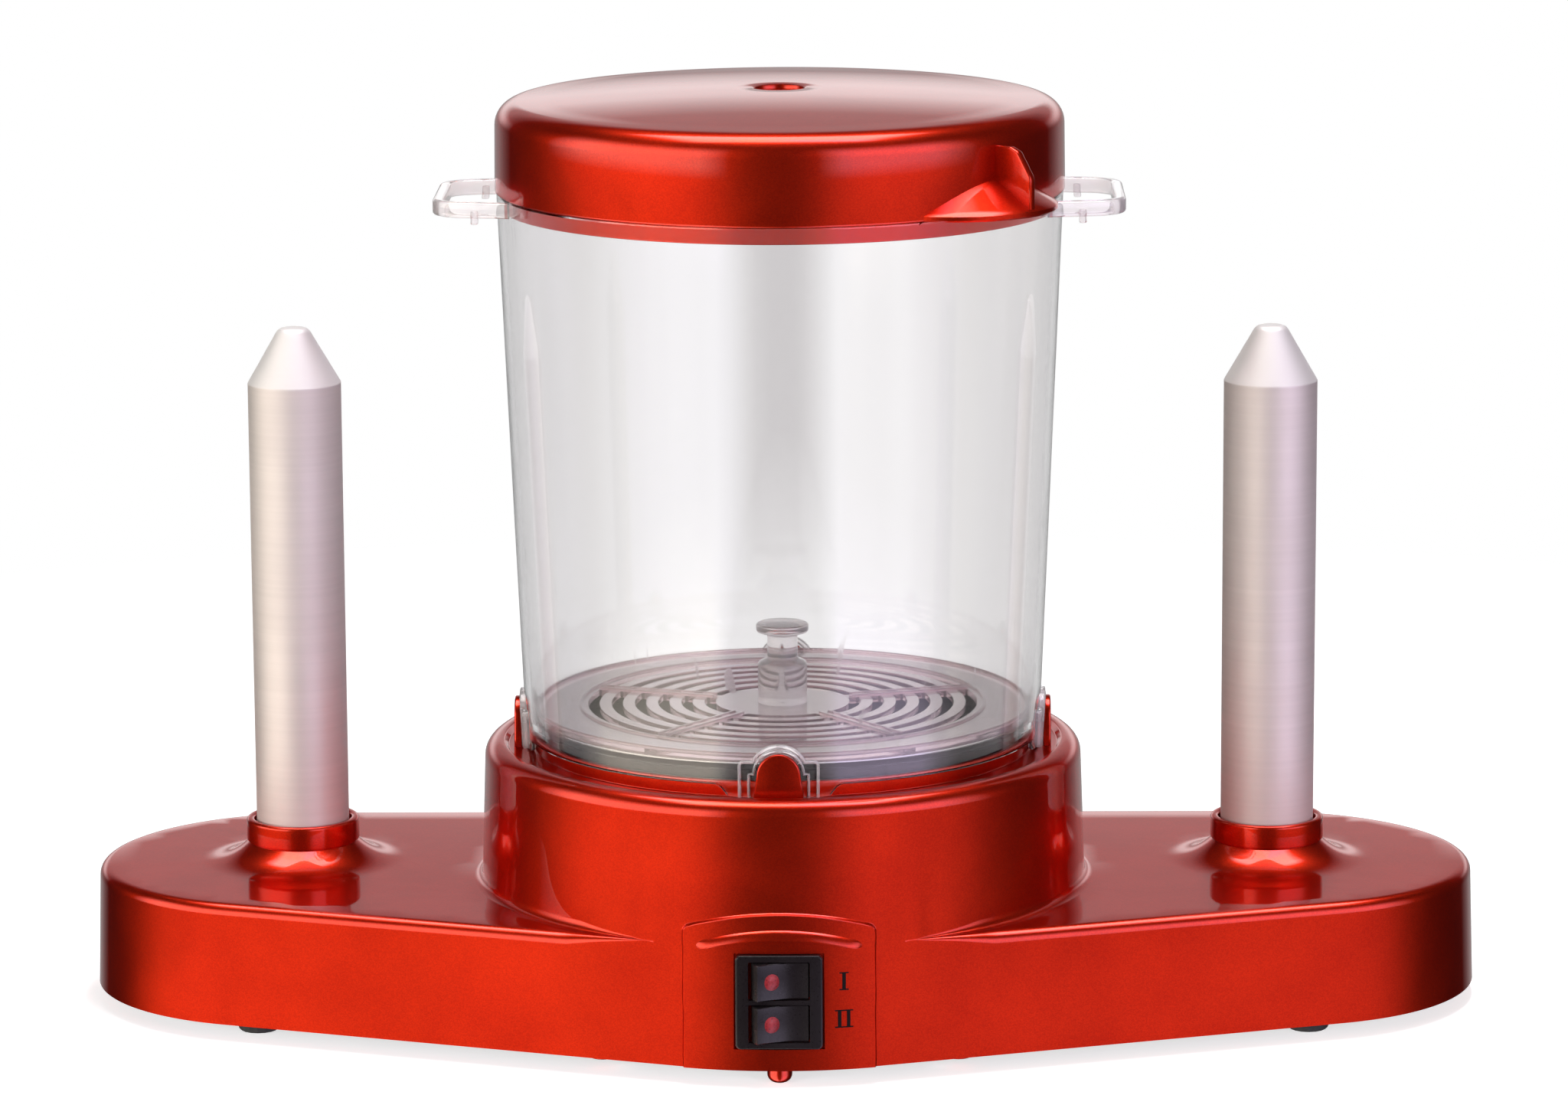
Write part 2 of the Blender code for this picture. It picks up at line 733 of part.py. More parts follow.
def tab_outline(grow):
    """A tab's front outline standing on the ledge: tapered sides and a round tip."""
    half = TAB_WIDTH / 2 + grow
    tip = TAB_TIP_RADIUS + grow
    top = TAB_HEIGHT + grow
    points = [(half, 0)]
    for step in range(2 * CORNER_STEPS + 1):
        angle = math.pi * step / (2 * CORNER_STEPS)
        points.append((tip * math.cos(angle), top - tip + tip * math.sin(angle)))
    points.append((-half, 0))
    return points


def tab_face():
    """Distance of the tabs' inner faces from the drum's axis."""
    return container_radius(LEDGE_Z + TAB_HEIGHT) + TAB_GAP


def housing_tab(index):
    """One red tab on the ledge, thinner at its tip, turned to its side of the drum."""
    outline = [(x, LEDGE_Z + height) for x, height in tab_outline(0)]
    outline[0] = (outline[0][0], LEDGE_Z - SHELF_DROP)
    outline[-1] = (outline[-1][0], LEDGE_Z - SHELF_DROP)
    tab = plate("tab_" + str(index + 1), [outline], tab_face(), tab_face() + TAB_THICKNESS, TOOLS,
                facing_front=True)
    for vertex in tab.data.vertices:
        outside = vertex.co.z > 0
        if outside:
            vertex.co.z -= (TAB_THICKNESS - TAB_TIP_THICKNESS) * (vertex.co.y - LEDGE_Z) / TAB_HEIGHT
    return spun(tab, math.tau * index / QUARTER_TURNS)


def collar_profile():
    """The collar round a spike: a plain ring on a dished foot that spreads onto the wing."""
    top = WING_TOP + COLLAR_FLARE_HEIGHT + COLLAR_HEIGHT
    neck = WING_TOP + COLLAR_FLARE_HEIGHT
    profile = [
        (0, top),
        (COLLAR_RADIUS - COLLAR_EDGE, top),
        (COLLAR_RADIUS, top - COLLAR_EDGE),
        (COLLAR_RADIUS, neck + COLLAR_EDGE),
    ]
    for step in range(FLARE_STEPS + 1):
        angle = FLARE_SWEEP * step / FLARE_STEPS
        radius = COLLAR_RADIUS - COLLAR_NECK + COLLAR_FLARE_REACH * (1 - math.cos(angle))
        height = neck - COLLAR_FLARE_HEIGHT * math.sin(angle)
        profile.append((radius, height))
    base = CAVITY_TOP + HOUSING_WALL / 2
    profile.append((profile[-1][0], base))
    profile.append((0, base))
    return profile


def boss_places():
    """Centres of the posts that the cover is screwed to."""
    places = []
    radius = drum_radius(WING_TOP) - BOSS_RING_INSET
    for angle in (BOSS_REAR_ANGLE, BOSS_FRONT_ANGLE):
        for side in SIDES.values():
            places.append((side * radius * math.cos(angle), radius * math.sin(angle)))
    for side in SIDES.values():
        places.append((side * (WING_X + WING_END_RADIUS * WING_BOSS_SHARE), WING_SETBACK))
    return places


def flange_screw_places(side):
    """Centres of the two screws that hold one spike's flange, in front of it and behind it."""
    x = side * WING_X
    return [(x, WING_SETBACK - FLANGE_EAR_OFFSET), (x, WING_SETBACK + FLANGE_EAR_OFFSET)]


def housing_bosses():
    """Screw posts for the cover and for the spike flanges, as helpers."""
    bosses = []
    for index, (x, y) in enumerate(boss_places()):
        in_wing = abs(x) > drum_radius(WING_TOP)
        top = (CAVITY_TOP if in_wing else SHELF_TOP - SHELF_THICKNESS) + HOUSING_WALL / 2
        bosses.append(rod("cover_boss_" + str(index + 1), BOSS_RADIUS, (x, y, BOSS_BOTTOM), (x, y, top), TOOLS))
    for side_name, side in SIDES.items():
        for index, (x, y) in enumerate(flange_screw_places(side)):
            low = (x, y, FLANGE_TOP + SEAT_GAP)
            high = (x, y, CAVITY_TOP + HOUSING_WALL / 2)
            name = side_name + "_flange_boss_" + str(index + 1)
            bosses.append(rod(name, FLANGE_BOSS_RADIUS, low, high, TOOLS))
    return bosses


def pilot_holes():
    """Holes in the screw posts, as cutters."""
    radius = SCREW_RADIUS + PILOT_GAP
    holes = []
    for index, (x, y) in enumerate(boss_places()):
        low = (x, y, BOSS_BOTTOM - CUT_OVERRUN)
        high = (x, y, BOSS_BOTTOM + SCREW_GRIP + SEAT_GAP * 2)
        holes.append(rod("cover_pilot_" + str(index + 1), radius, low, high, TOOLS, steps=HOLE_STEPS))
    for side_name, side in SIDES.items():
        for index, (x, y) in enumerate(flange_screw_places(side)):
            low = (x, y, FLANGE_TOP - CUT_OVERRUN)
            high = (x, y, FLANGE_TOP + SCREW_GRIP + SEAT_GAP * 2)
            name = side_name + "_flange_pilot_" + str(index + 1)
            holes.append(rod(name, radius, low, high, TOOLS, steps=HOLE_STEPS))
    return holes


def stud_foot_place():
    """Centre of the moulded front foot."""
    return (0, STUD_FOOT_Y_INSET - DRUM_FOOT_RADIUS)


def lug_places():
    """Centres of the two small lugs under the front edge."""
    normal = front_normal()
    edge = (LUG_X * math.cos(normal) - (WING_BULGE_RADIUS - LUG_EDGE_INSET)) / math.sin(-normal)
    return [(side * LUG_X, edge) for side in SIDES.values()]


def make_base_housing():
    """The red moulded housing: drum and wings, with their reliefs, collars, tabs and posts, hollowed."""
    housing = drum_body()
    wings = wing_block("wings", 0, EDGE_CLEARANCE, WING_TOP, WING_EDGE_ROUND, CORNER_STEPS)
    for side_name, side in SIDES.items():
        place = (side * WING_X, WING_SETBACK, 0)
        join(wings, turned(side_name + "_collar", collar_profile(), TOOLS, place=place))
    join(housing, wings)
    inner_low = EDGE_CLEARANCE - CUT_OVERRUN
    cut(housing, wing_block("wing_cavity", HOUSING_WALL, inner_low, CAVITY_TOP, SEAT_GAP, 1))
    cut(housing, drum_cavity())
    cut(housing, *spike_holes(), solver="MANIFOLD")
    join(housing, panel_relief(), brow_relief(), solver="MANIFOLD")
    tabs = [housing_tab(index) for index in range(QUARTER_TURNS)]
    join(housing, *tabs, *housing_bosses(), *housing_lugs(), solver="MANIFOLD")
    cut(housing, *pilot_holes(), switch_recess(), switch_hole(), *bush_cutters(), solver="MANIFOLD")
    return settle(housing, RED_GLOSS)


def spike_holes():
    """Two round cutters for the holes that the spikes stand in."""
    holes = []
    for side_name, side in SIDES.items():
        low = (side * WING_X, WING_SETBACK, CAVITY_TOP - CUT_OVERRUN)
        high = (side * WING_X, WING_SETBACK, WING_TOP + COLLAR_FLARE_HEIGHT + COLLAR_HEIGHT + CUT_OVERRUN)
        holes.append(rod(side_name + "_spike_hole", SPIKE_HOLE_RADIUS, low, high, TOOLS, PIECE_STEPS))
    return holes


def housing_lugs():
    """The moulded centre foot and the two small lugs that reach below the housing's edge."""
    x, y = stud_foot_place()
    post_top = COVER_TOP + SEAT_GAP
    lugs = [rod("stud_foot", STUD_FOOT_RADIUS, (x, y, 0), (x, y, post_top), TOOLS)]
    for index, (x, y) in enumerate(lug_places()):
        low = (x, y, EDGE_CLEARANCE - LUG_DROP)
        lugs.append(rod("edge_lug_" + str(index + 1), LUG_RADIUS, low, (x, y, post_top), TOOLS))
    return lugs


# Bottom cover, feet and screws

def make_bottom_cover():
    """The black cover under the housing, with vents, screw holes and clearances for the moulded studs."""
    inset = HOUSING_WALL + COVER_GAP + (COVER_TOP - EDGE_CLEARANCE) * math.tan(WING_DRAFT)
    cover = plate("bottom_cover", [plan_outline(inset)], COVER_BOTTOM, COVER_TOP, PARTS)
    rear_radius = drum_radius(COVER_TOP) - HOUSING_WALL - COVER_GAP
    rear_arc = circle(rear_radius, WALL_STEPS)
    join(cover, plate("cover_rear", [rear_arc], COVER_BOTTOM, COVER_TOP, TOOLS))
    low, high = COVER_BOTTOM - CUT_OVERRUN, COVER_TOP + CUT_OVERRUN
    for index in range(VENT_COUNT):
        x = (index - (VENT_COUNT - 1) / 2) * VENT_PITCH
        outline = rectangle(VENT_WIDTH, VENT_LENGTH, VENT_WIDTH / 2 - SEAT_GAP, (x, 0))
        cut(cover, plate("vent_" + str(index + 1), [outline], low, high, TOOLS))
    for index, (x, y) in enumerate(boss_places()):
        radius = SCREW_RADIUS + PILOT_GAP
        cut(cover, rod("cover_hole_" + str(index + 1), radius, (x, y, low), (x, y, high), TOOLS, steps=HOLE_STEPS))
    for name, (x, y, _) in foot_places().items():
        radius = FOOT_STEM_RADIUS + PILOT_GAP
        cut(cover, rod(name + "_hole", radius, (x, y, low), (x, y, high), TOOLS, steps=HOLE_STEPS))
    x, y = stud_foot_place()
    cut(cover, rod("stud_clearance", STUD_FOOT_RADIUS + COVER_GAP, (x, y, low), (x, y, high), TOOLS))
    for index, (x, y) in enumerate(lug_places()):
        name = "lug_clearance_" + str(index + 1)
        cut(cover, rod(name, LUG_RADIUS + COVER_GAP, (x, y, low), (x, y, high), TOOLS))
    return settle(cover, BLACK_PLASTIC)


def foot_places():
    """Where the four rubber feet stand."""
    places = {}
    for side_name, side in SIDES.items():
        places["foot_front_" + side_name] = (side * FOOT_X, FOOT_FRONT_Y, 0)
        places["foot_rear_" + side_name] = (side * FOOT_X, FOOT_REAR_Y, 0)
    return places


def make_feet():
    """Four rubber feet with a stem each through the cover."""
    top = COVER_BOTTOM - SEAT_GAP
    stem_top = COVER_TOP + FOOT_STEM_RISE
    profile = [(0, stem_top), (FOOT_STEM_RADIUS, stem_top), (FOOT_STEM_RADIUS, top), (FOOT_RADIUS, top)]
    profile += rounded((FOOT_RADIUS, 0), (FOOT_RADIUS, top), (0, 0), FOOT_ROUND)
    profile.append((0, 0))
    for name, place in foot_places().items():
        settle(turned(name, profile, PARTS, SMALL_STEPS, place), BLACK_RUBBER)


def screw(name, x, y, seat, material):
    """A pan-head screw driven upwards against the face at the seat height."""
    head_top = seat - SEAT_GAP
    head_low = head_top - SCREW_HEAD_HEIGHT
    profile = [
        (0, seat + FLANGE_THICKNESS + SCREW_GRIP),
        (SCREW_RADIUS, seat + FLANGE_THICKNESS + SCREW_GRIP),
        (SCREW_RADIUS, head_top),
        (SCREW_HEAD_RADIUS, head_top),
        (SCREW_HEAD_RADIUS, head_low),
        (0, head_low),
    ]
    return settle(turned(name, profile, PARTS, HOLE_STEPS, (x, y, 0)), material)


def make_screws():
    """The screws of the cover and of the spike flanges."""
    for index, (x, y) in enumerate(boss_places()):
        screw("cover_screw_" + str(index + 1), x, y, COVER_BOTTOM, STEEL)
    for side_name, side in SIDES.items():
        for index, (x, y) in enumerate(flange_screw_places(side)):
            screw(side_name + "_flange_screw_" + str(index + 1), x, y, FLANGE_BOTTOM, STEEL)


# Water pan, heating ring and what clamps them

def make_heating_pan():
    """The pressed water pan with a stud under its floor."""
    inner = PAN_RADIUS - PAN_WALL
    floor_top = PAN_FLOOR + PAN_WALL
    profile = [(0, floor_top)]
    profile += rounded((inner, floor_top), (0, floor_top), (inner, PAN_RIM), PAN_ROUND - PAN_WALL)
    profile += [(inner, PAN_RIM), (PAN_RADIUS, PAN_RIM)]
    profile += rounded((PAN_RADIUS, PAN_FLOOR), (PAN_RADIUS, PAN_RIM), (0, PAN_FLOOR), PAN_ROUND)
    stud_low = PAN_FLOOR - PAN_STUD_LENGTH
    profile += [(PAN_STUD_RADIUS, PAN_FLOOR), (PAN_STUD_RADIUS, stud_low), (0, stud_low)]
    return settle(turned("heating_pan", profile, PARTS, WALL_STEPS), PAN_METAL)


def make_pan_gasket():
    """The flat silicone ring between the pan and the housing's shelf."""
    outer = PAN_RADIUS - PAN_ROUND
    low = SHELF_TOP + SEAT_GAP
    profile = [
        (outer - GASKET_WIDTH, low + GASKET_THICKNESS),
        (outer, low + GASKET_THICKNESS),
        (outer, low),
        (outer - GASKET_WIDTH, low),
    ]
    return settle(turned("pan_gasket", profile, PARTS), SILICONE)


def ring_height():
    """Height of the heating ring's centre line."""
    return PAN_FLOOR - SEAT_GAP - RING_TUBE_RADIUS


def make_heating_ring():
    """The tubular heater: most of a circle with both ends turned down at the back."""
    sweep = math.tau - RING_GAP_ANGLE
    start = math.pi / 2 + RING_GAP_ANGLE / 2
    steps = PIECE_STEPS // 2
    points = []
    for step in range(steps + 1):
        angle = start + sweep * step / steps
        points.append((RING_RADIUS * math.cos(angle), RING_RADIUS * math.sin(angle), ring_height()))
    first, last = Vector(points[0]), Vector(points[-1])
    drop = Vector((0, 0, -RING_TAIL))
    ease = RING_TUBE_RADIUS * RING_EASE_SHARE
    lead_in = Vector((-math.sin(start), math.cos(start), 0)) * -ease
    lead_out = Vector((-math.sin(start + sweep), math.cos(start + sweep), 0)) * ease
    points = [first + lead_in + drop, first + lead_in + Vector((0, 0, -ease))] + points
    points = points + [last + lead_out + Vector((0, 0, -ease)), last + lead_out + drop]
    return settle(tube("heating_ring", points, RING_TUBE_RADIUS, PARTS), STEEL)


def bar_heights():
    """Lower and upper face of the clamp bar's middle."""
    top = ring_height() - RING_TUBE_RADIUS - SEAT_GAP
    return top - BAR_THICKNESS, top


def make_clamp_bar():
    """The cranked bar that bears on the shelf from below and holds the ring and the pan."""
    low, top = bar_heights()
    shelf_under = SHELF_TOP - SHELF_THICKNESS - SEAT_GAP
    reach = SHELF_INNER + BAR_PAD_OVERLAP
    pad = reach - BAR_PAD_LENGTH
    outline = [(-reach, low), (reach, low), (reach, shelf_under), (pad, shelf_under), (pad, top), (-pad, top),
               (-pad, shelf_under), (-reach, shelf_under)]
    bar = plate("clamp_bar", [outline], -BAR_WIDTH / 2, BAR_WIDTH / 2, PARTS, facing_front=True)
    radius = PAN_STUD_RADIUS + PILOT_GAP
    cut(bar, rod("stud_hole", radius, (0, 0, low - CUT_OVERRUN), (0, 0, top + CUT_OVERRUN), TOOLS))
    return settle(bar, STEEL)


def make_clamp_nut():
    """The hexagon nut on the pan's stud under the clamp bar."""
    high = bar_heights()[0] - SEAT_GAP
    outer = circle(NUT_RADIUS, 6)
    bore = circle(PAN_STUD_RADIUS + SEAT_GAP, SMALL_STEPS)
    return settle(plate("clamp_nut", [outer, bore], high - NUT_HEIGHT, high, PARTS), STEEL)


def make_thermostat():
    """The disc thermostat that bears on the pan's floor from below."""
    top = PAN_FLOOR - SEAT_GAP
    step_z = top - THERMOSTAT_HEIGHT / 2
    low = top - THERMOSTAT_HEIGHT
    neck = THERMOSTAT_RADIUS - BLADE_THICKNESS
    profile = [(0, top), (THERMOSTAT_RADIUS, top), (THERMOSTAT_RADIUS, step_z), (neck, step_z), (neck, low),
               (0, low)]
    place = (0, -THERMOSTAT_OFFSET, 0)
    return settle(turned("thermostat", profile, PARTS, SMALL_STEPS, place), STEEL)


def make_thermal_fuse():
    """The one-shot fuse that lies against the pan's floor."""
    z = PAN_FLOOR - SEAT_GAP - FUSE_RADIUS
    start = (-FUSE_LENGTH / 2, THERMOSTAT_OFFSET, z)
    end = (FUSE_LENGTH / 2, THERMOSTAT_OFFSET, z)
    return settle(rod("thermal_fuse", FUSE_RADIUS, start, end, PARTS), CERAMIC)


# Warming spikes

def spike_profile():
    """Half section of a spike: a hollow tube with a conical tip, a blunt nose and a swaged foot."""
    cone_low = SPIKE_TIP_Z - SPIKE_CONE_HEIGHT
    foot_top = FLANGE_BOTTOM - SEAT_GAP
    foot_low = foot_top - SPIKE_FOOT_THICKNESS
    foot_radius = SPIKE_RADIUS + SPIKE_FOOT_FLARE
    inner = SPIKE_RADIUS - SPIKE_WALL
    nose = (SPIKE_NOSE_RADIUS, SPIKE_TIP_Z)
    shoulder = (SPIKE_RADIUS, cone_low)
    profile = [(0, SPIKE_TIP_Z)]
    profile += rounded(nose, (0, SPIKE_TIP_Z), shoulder, SPIKE_NOSE_RADIUS)
    profile += rounded(shoulder, nose, (SPIKE_RADIUS, foot_top), SPIKE_SHOULDER_ROUND)
    profile += [
        (SPIKE_RADIUS, foot_top),
        (foot_radius, foot_top),
        (foot_radius, foot_low),
        (inner, foot_low),
        (inner, cone_low - SPIKE_WALL),
        (SPIKE_NOSE_RADIUS, SPIKE_TIP_Z - 2 * SPIKE_WALL),
        (0, SPIKE_TIP_Z - 2 * SPIKE_WALL),
    ]
    return profile


def make_spike(side_name, side):
    """One aluminium spike standing in its collar."""
    place = (side * WING_X, WING_SETBACK, 0)
    return settle(turned(side_name + "_spike", spike_profile(), PARTS, PIECE_STEPS, place), SATIN_ALUMINIUM)


def make_heater_core(side_name, side):
    """The ceramic heater core inside a spike."""
    radius = SPIKE_RADIUS - SPIKE_WALL - SEAT_GAP
    low = FLANGE_BOTTOM
    high = SPIKE_TIP_Z - SPIKE_CONE_HEIGHT - CORE_TOP_GAP
    x, y = side * WING_X, WING_SETBACK
    core = rod(side_name + "_heater_core", radius, (x, y, low), (x, y, high), PARTS, PIECE_STEPS // 2)
    return settle(core, CERAMIC)


def make_spike_flange(side_name, side):
    """The plate that holds a spike's foot up against the housing, with two ears for screws."""
    x, y = side * WING_X, WING_SETBACK
    outer = circle(FLANGE_RADIUS, PIECE_STEPS // 2, (x, y))
    outlines = [outer, circle(SPIKE_RADIUS + PILOT_GAP, PIECE_STEPS // 2, (x, y))]
    for place in flange_screw_places(side):
        outlines.append(circle(SCREW_RADIUS + PILOT_GAP, HOLE_STEPS, place))
    return settle(plate(side_name + "_spike_flange", outlines, FLANGE_BOTTOM, FLANGE_TOP, PARTS), STEEL)


def make_spike_seal(side_name, side):
    """The silicone ring between a flange and the underside of the wing."""
    inner = SPIKE_RADIUS + SEAT_GAP
    low = FLANGE_TOP + SEAT_GAP
    high = CAVITY_TOP - SEAT_GAP
    profile = [(inner, high), (inner + SEAL_WALL, high), (inner + SEAL_WALL, low), (inner, low)]
    place = (side * WING_X, WING_SETBACK, 0)
    return settle(turned(side_name + "_spike_seal", profile, PARTS, PIECE_STEPS // 2, place), SILICONE)


# Twin rocker switch

def switch_recess():
    """Cutter for the flat seat that the bezel lies in."""
    outline = rectangle(BEZEL_WIDTH + 2 * SEAT_GAP, BEZEL_HEIGHT + 2 * SEAT_GAP, BEZEL_CORNER, (0, BEZEL_Z))
    return plate("switch_recess", [outline], bezel_seat(), DRUM_FOOT_RADIUS + CUT_OVERRUN, TOOLS,
                 facing_front=True)


def switch_hole():
    """Cutter for the hole that the switch body passes through."""
    outline = rectangle(SWITCH_BODY_WIDTH + 2 * SWITCH_HOLE_GAP, SWITCH_BODY_HEIGHT + 2 * SWITCH_HOLE_GAP,
                        0, (0, BEZEL_Z))
    return plate("switch_hole", [outline], bezel_seat() - SWITCH_BODY_DEPTH, bezel_seat() + CUT_OVERRUN,
                 TOOLS, facing_front=True)


def bezel_seat():
    """Distance of the flat seat behind the bezel from the axis."""
    return drum_radius(BEZEL_Z) - BEZEL_SEAT_SINK


def bezel_front():
    """Distance of the bezel's front face from the axis."""
    return bezel_seat() + SEAT_GAP + BEZEL_THICKNESS


def rocker_places():
    """Height of each rocker's middle."""
    step = (BAY_HEIGHT + BAY_WEB) / 2
    return {"upper": BEZEL_Z + step, "lower": BEZEL_Z - step}


def pivot_distance():
    """Distance of the rockers' pivots from the drum's axis."""
    return bezel_front() - ROCKER_DIP_Y


def make_switch_body():
    """The bezel and the body behind it, with a bay and pivot holes for each rocker."""
    outline = rectangle(BEZEL_WIDTH, BEZEL_HEIGHT, BEZEL_CORNER, (0, BEZEL_Z))
    seat = bezel_seat() + SEAT_GAP
    body = plate("switch_body", [outline], seat, seat + BEZEL_THICKNESS, PARTS, facing_front=True)
    core = rectangle(SWITCH_BODY_WIDTH, SWITCH_BODY_HEIGHT, 0, (0, BEZEL_Z))
    join(body, plate("switch_core", [core], seat - SWITCH_BODY_DEPTH, seat + BEZEL_THICKNESS / 2, TOOLS,
                     facing_front=True))
    front = bezel_front()
    for name, z in rocker_places().items():
        bay = rectangle(BAY_WIDTH, BAY_HEIGHT, 0, (0, z))
        cut(body, plate(name + "_bay", [bay], front - BAY_DEPTH, front + CUT_OVERRUN, TOOLS, facing_front=True))
    low = BEZEL_Z - BAY_HEIGHT - BAY_WEB
    high = BEZEL_Z + BAY_HEIGHT + BAY_WEB
    y = -pivot_distance()
    cut(body, rod("pivot_hole", ROCKER_PIN_RADIUS + PILOT_GAP, (0, y, low), (0, y, high), TOOLS, steps=HOLE_STEPS))
    return settle(body, BLACK_PLASTIC)


def rocker_outline():
    """A rocker seen from above, centred on its pivot: dished front, round flanks and a narrow heel."""
    half = [
        (0, -ROCKER_DIP_Y),
        (ROCKER_CORNER_X, -ROCKER_CORNER_Y),
        (ROCKER_WAIST_X, -ROCKER_WAIST_Y),
        (ROCKER_WAIST_X - ROCKER_FLANK_DRAW, ROCKER_FLANK_Y),
        (ROCKER_HEEL_X, ROCKER_HEEL_Y),
    ]
    mirrored = [(-x, y) for x, y in reversed(half[1:])]
    return half + mirrored


def lens_seat():
    """Middle of the lens on the rocker's dished face and the direction that the face looks in."""
    slope = (ROCKER_CORNER_Y - ROCKER_DIP_Y) / ROCKER_CORNER_X
    middle = Vector((-LENS_OFFSET, -ROCKER_DIP_Y - slope * LENS_OFFSET, 0))
    direction = Vector((slope, -1, 0)).normalized()
    return middle, direction


def place_on_rocker(item, z):
    """Turns and moves a piece with the rocker at height z, its own origin on the pivot."""
    pivot = Matrix.Translation((0, -pivot_distance(), z)) @ Matrix.Rotation(ROCKER_TILT, 4, "Z")
    item.matrix_world = pivot @ item.matrix_world
    return item


def make_rocker(name, z):
    """One rocker with its pivot pins and a seat for its lens, standing proud at its left end."""
    rocker = plate(name + "_rocker", [rocker_outline()], -ROCKER_HEIGHT / 2, ROCKER_HEIGHT / 2, PARTS)
    reach = ROCKER_HEIGHT / 2 + ROCKER_PIN_REACH
    pins = rod(name + "_pins", ROCKER_PIN_RADIUS, (0, 0, -reach), (0, 0, reach), TOOLS, steps=HOLE_STEPS)
    middle, direction = lens_seat()
    radius = LENS_RADIUS + SEAT_GAP
    seat = rod(name + "_lens_seat", radius, middle - direction * (LENS_SEAT + SEAT_GAP),
               middle + direction * CUT_OVERRUN, TOOLS)
    join(rocker, pins)
    cut(rocker, seat)
    settle(rocker, BLACK_PLASTIC)
    return place_on_rocker(rocker, z)


def make_lens(name, z):
    """The round red lens set in a rocker."""
    middle, direction = lens_seat()
    edge = LENS_DOME / 2
    profile = [(0, LENS_DOME), (LENS_RADIUS / 2, LENS_DOME - edge / 2), (LENS_RADIUS, 0),
               (LENS_RADIUS, -LENS_SEAT), (0, -LENS_SEAT)]
    lens = turned(name + "_lens", profile, PARTS, SMALL_STEPS)
    settle(lens, RED_LENS)
    turn = direction.to_track_quat("Z", "Y").to_matrix().to_4x4()
    lens.matrix_world = Matrix.Translation(middle) @ turn
    return place_on_rocker(lens, z)


def blade_places():
    """Where the four terminal blades leave the switch body."""
    back = bezel_seat() - SWITCH_BODY_DEPTH
    places = []
    for z in rocker_places().values():
        for side in SIDES.values():
            places.append((side * BLADE_SPREAD / 2, -back + BLADE_LENGTH / 2 + SEAT_GAP * 2, z))
    return places


def make_blades():
    """Four flat terminals behind the switch body."""
    for index, place in enumerate(blade_places()):
        size = (BLADE_THICKNESS, BLADE_LENGTH, BLADE_WIDTH)
        settle(box("switch_terminal_" + str(index + 1), place, size, PARTS), BRASS)


# Mains entry and wiring

def bush_seat():
    """Distance of the flat round seat of the cord bush from the axis."""
    return drum_radius(BUSH_Z) - BUSH_SEAT_SINK


def bush_cutters():
    """Cutters for the bush's flat seat at the back and for the hole that it passes through."""
    middle = (0, bush_seat(), BUSH_Z)
    start = (0, bush_seat() - BUSH_LENGTH, BUSH_Z)
    end = (0, bush_seat() + CUT_OVERRUN, BUSH_Z)
    seat = rod("bush_seat", BUSH_FLANGE_RADIUS + SEAT_GAP, middle, end, TOOLS)
    return [seat, rod("bush_hole", BUSH_RADIUS + SEAT_GAP, start, end, TOOLS)]


def make_cord_bush():
    """The empty bush of the mains cord, with a flange outside and a lip inside the housing."""
    flange_low = bush_seat() + SEAT_GAP
    outside = flange_low + BUSH_FLANGE_THICKNESS
    inside = flange_low - BUSH_LENGTH
    profile = [
        (BUSH_BORE_RADIUS, outside),
        (BUSH_FLANGE_RADIUS - BUSH_EDGE, outside),
        (BUSH_FLANGE_RADIUS, outside - BUSH_EDGE),
        (BUSH_FLANGE_RADIUS, flange_low),
        (BUSH_RADIUS, flange_low),
        (BUSH_RADIUS, inside),
        (BUSH_BORE_RADIUS, inside),
    ]
    bush = turned("cord_bush", profile, PARTS, SMALL_STEPS, (0, 0, BUSH_Z))
    bush.rotation_euler = (math.radians(-90), 0, 0)
    return settle(bush, BLACK_RUBBER)


def make_terminal_block():
    """The ceramic block on the cover where the leads meet, with a hole for each pole."""
    low = COVER_TOP + SEAT_GAP
    centre = (0, BLOCK_Y, low + BLOCK_HEIGHT / 2)
    block = box("terminal_block", centre, (BLOCK_WIDTH, BLOCK_DEPTH, BLOCK_HEIGHT), PARTS)
    for index in range(BLOCK_HOLES):
        x = (index - (BLOCK_HOLES - 1) / 2) * BLOCK_HOLE_PITCH
        reach = BLOCK_DEPTH / 2 + CUT_OVERRUN
        start = (x, BLOCK_Y - reach, centre[2])
        end = (x, BLOCK_Y + reach, centre[2])
        cut(block, rod("block_hole_" + str(index + 1), BLOCK_HOLE_RADIUS, start, end, TOOLS, steps=HOLE_STEPS))
    return settle(block, CERAMIC)


# Container

def container_profile():
    """Half section of the container: a tapered wall with a small ledge for the tray."""
    ledge_top = TRAY_BOTTOM - SEAT_GAP
    ledge_low = ledge_top - TRAY_LEDGE_THICKNESS
    ledge_inner = container_radius(ledge_top) - CONTAINER_WALL - TRAY_LEDGE_WIDTH
    edge = SEAT_GAP
    return [
        (container_radius(CONTAINER_TOP) - edge, CONTAINER_TOP),
        (container_radius(CONTAINER_TOP), CONTAINER_TOP - edge),
        (container_radius(CONTAINER_FOOT), CONTAINER_FOOT),
        (container_radius(CONTAINER_FOOT) - CONTAINER_WALL, CONTAINER_FOOT),
        (container_radius(ledge_low) - CONTAINER_WALL, ledge_low),
        (ledge_inner, ledge_low),
        (ledge_inner, ledge_top),
        (container_radius(ledge_top) - CONTAINER_WALL, ledge_top),
        (container_radius(CONTAINER_TOP) - CONTAINER_WALL, CONTAINER_TOP),
    ]


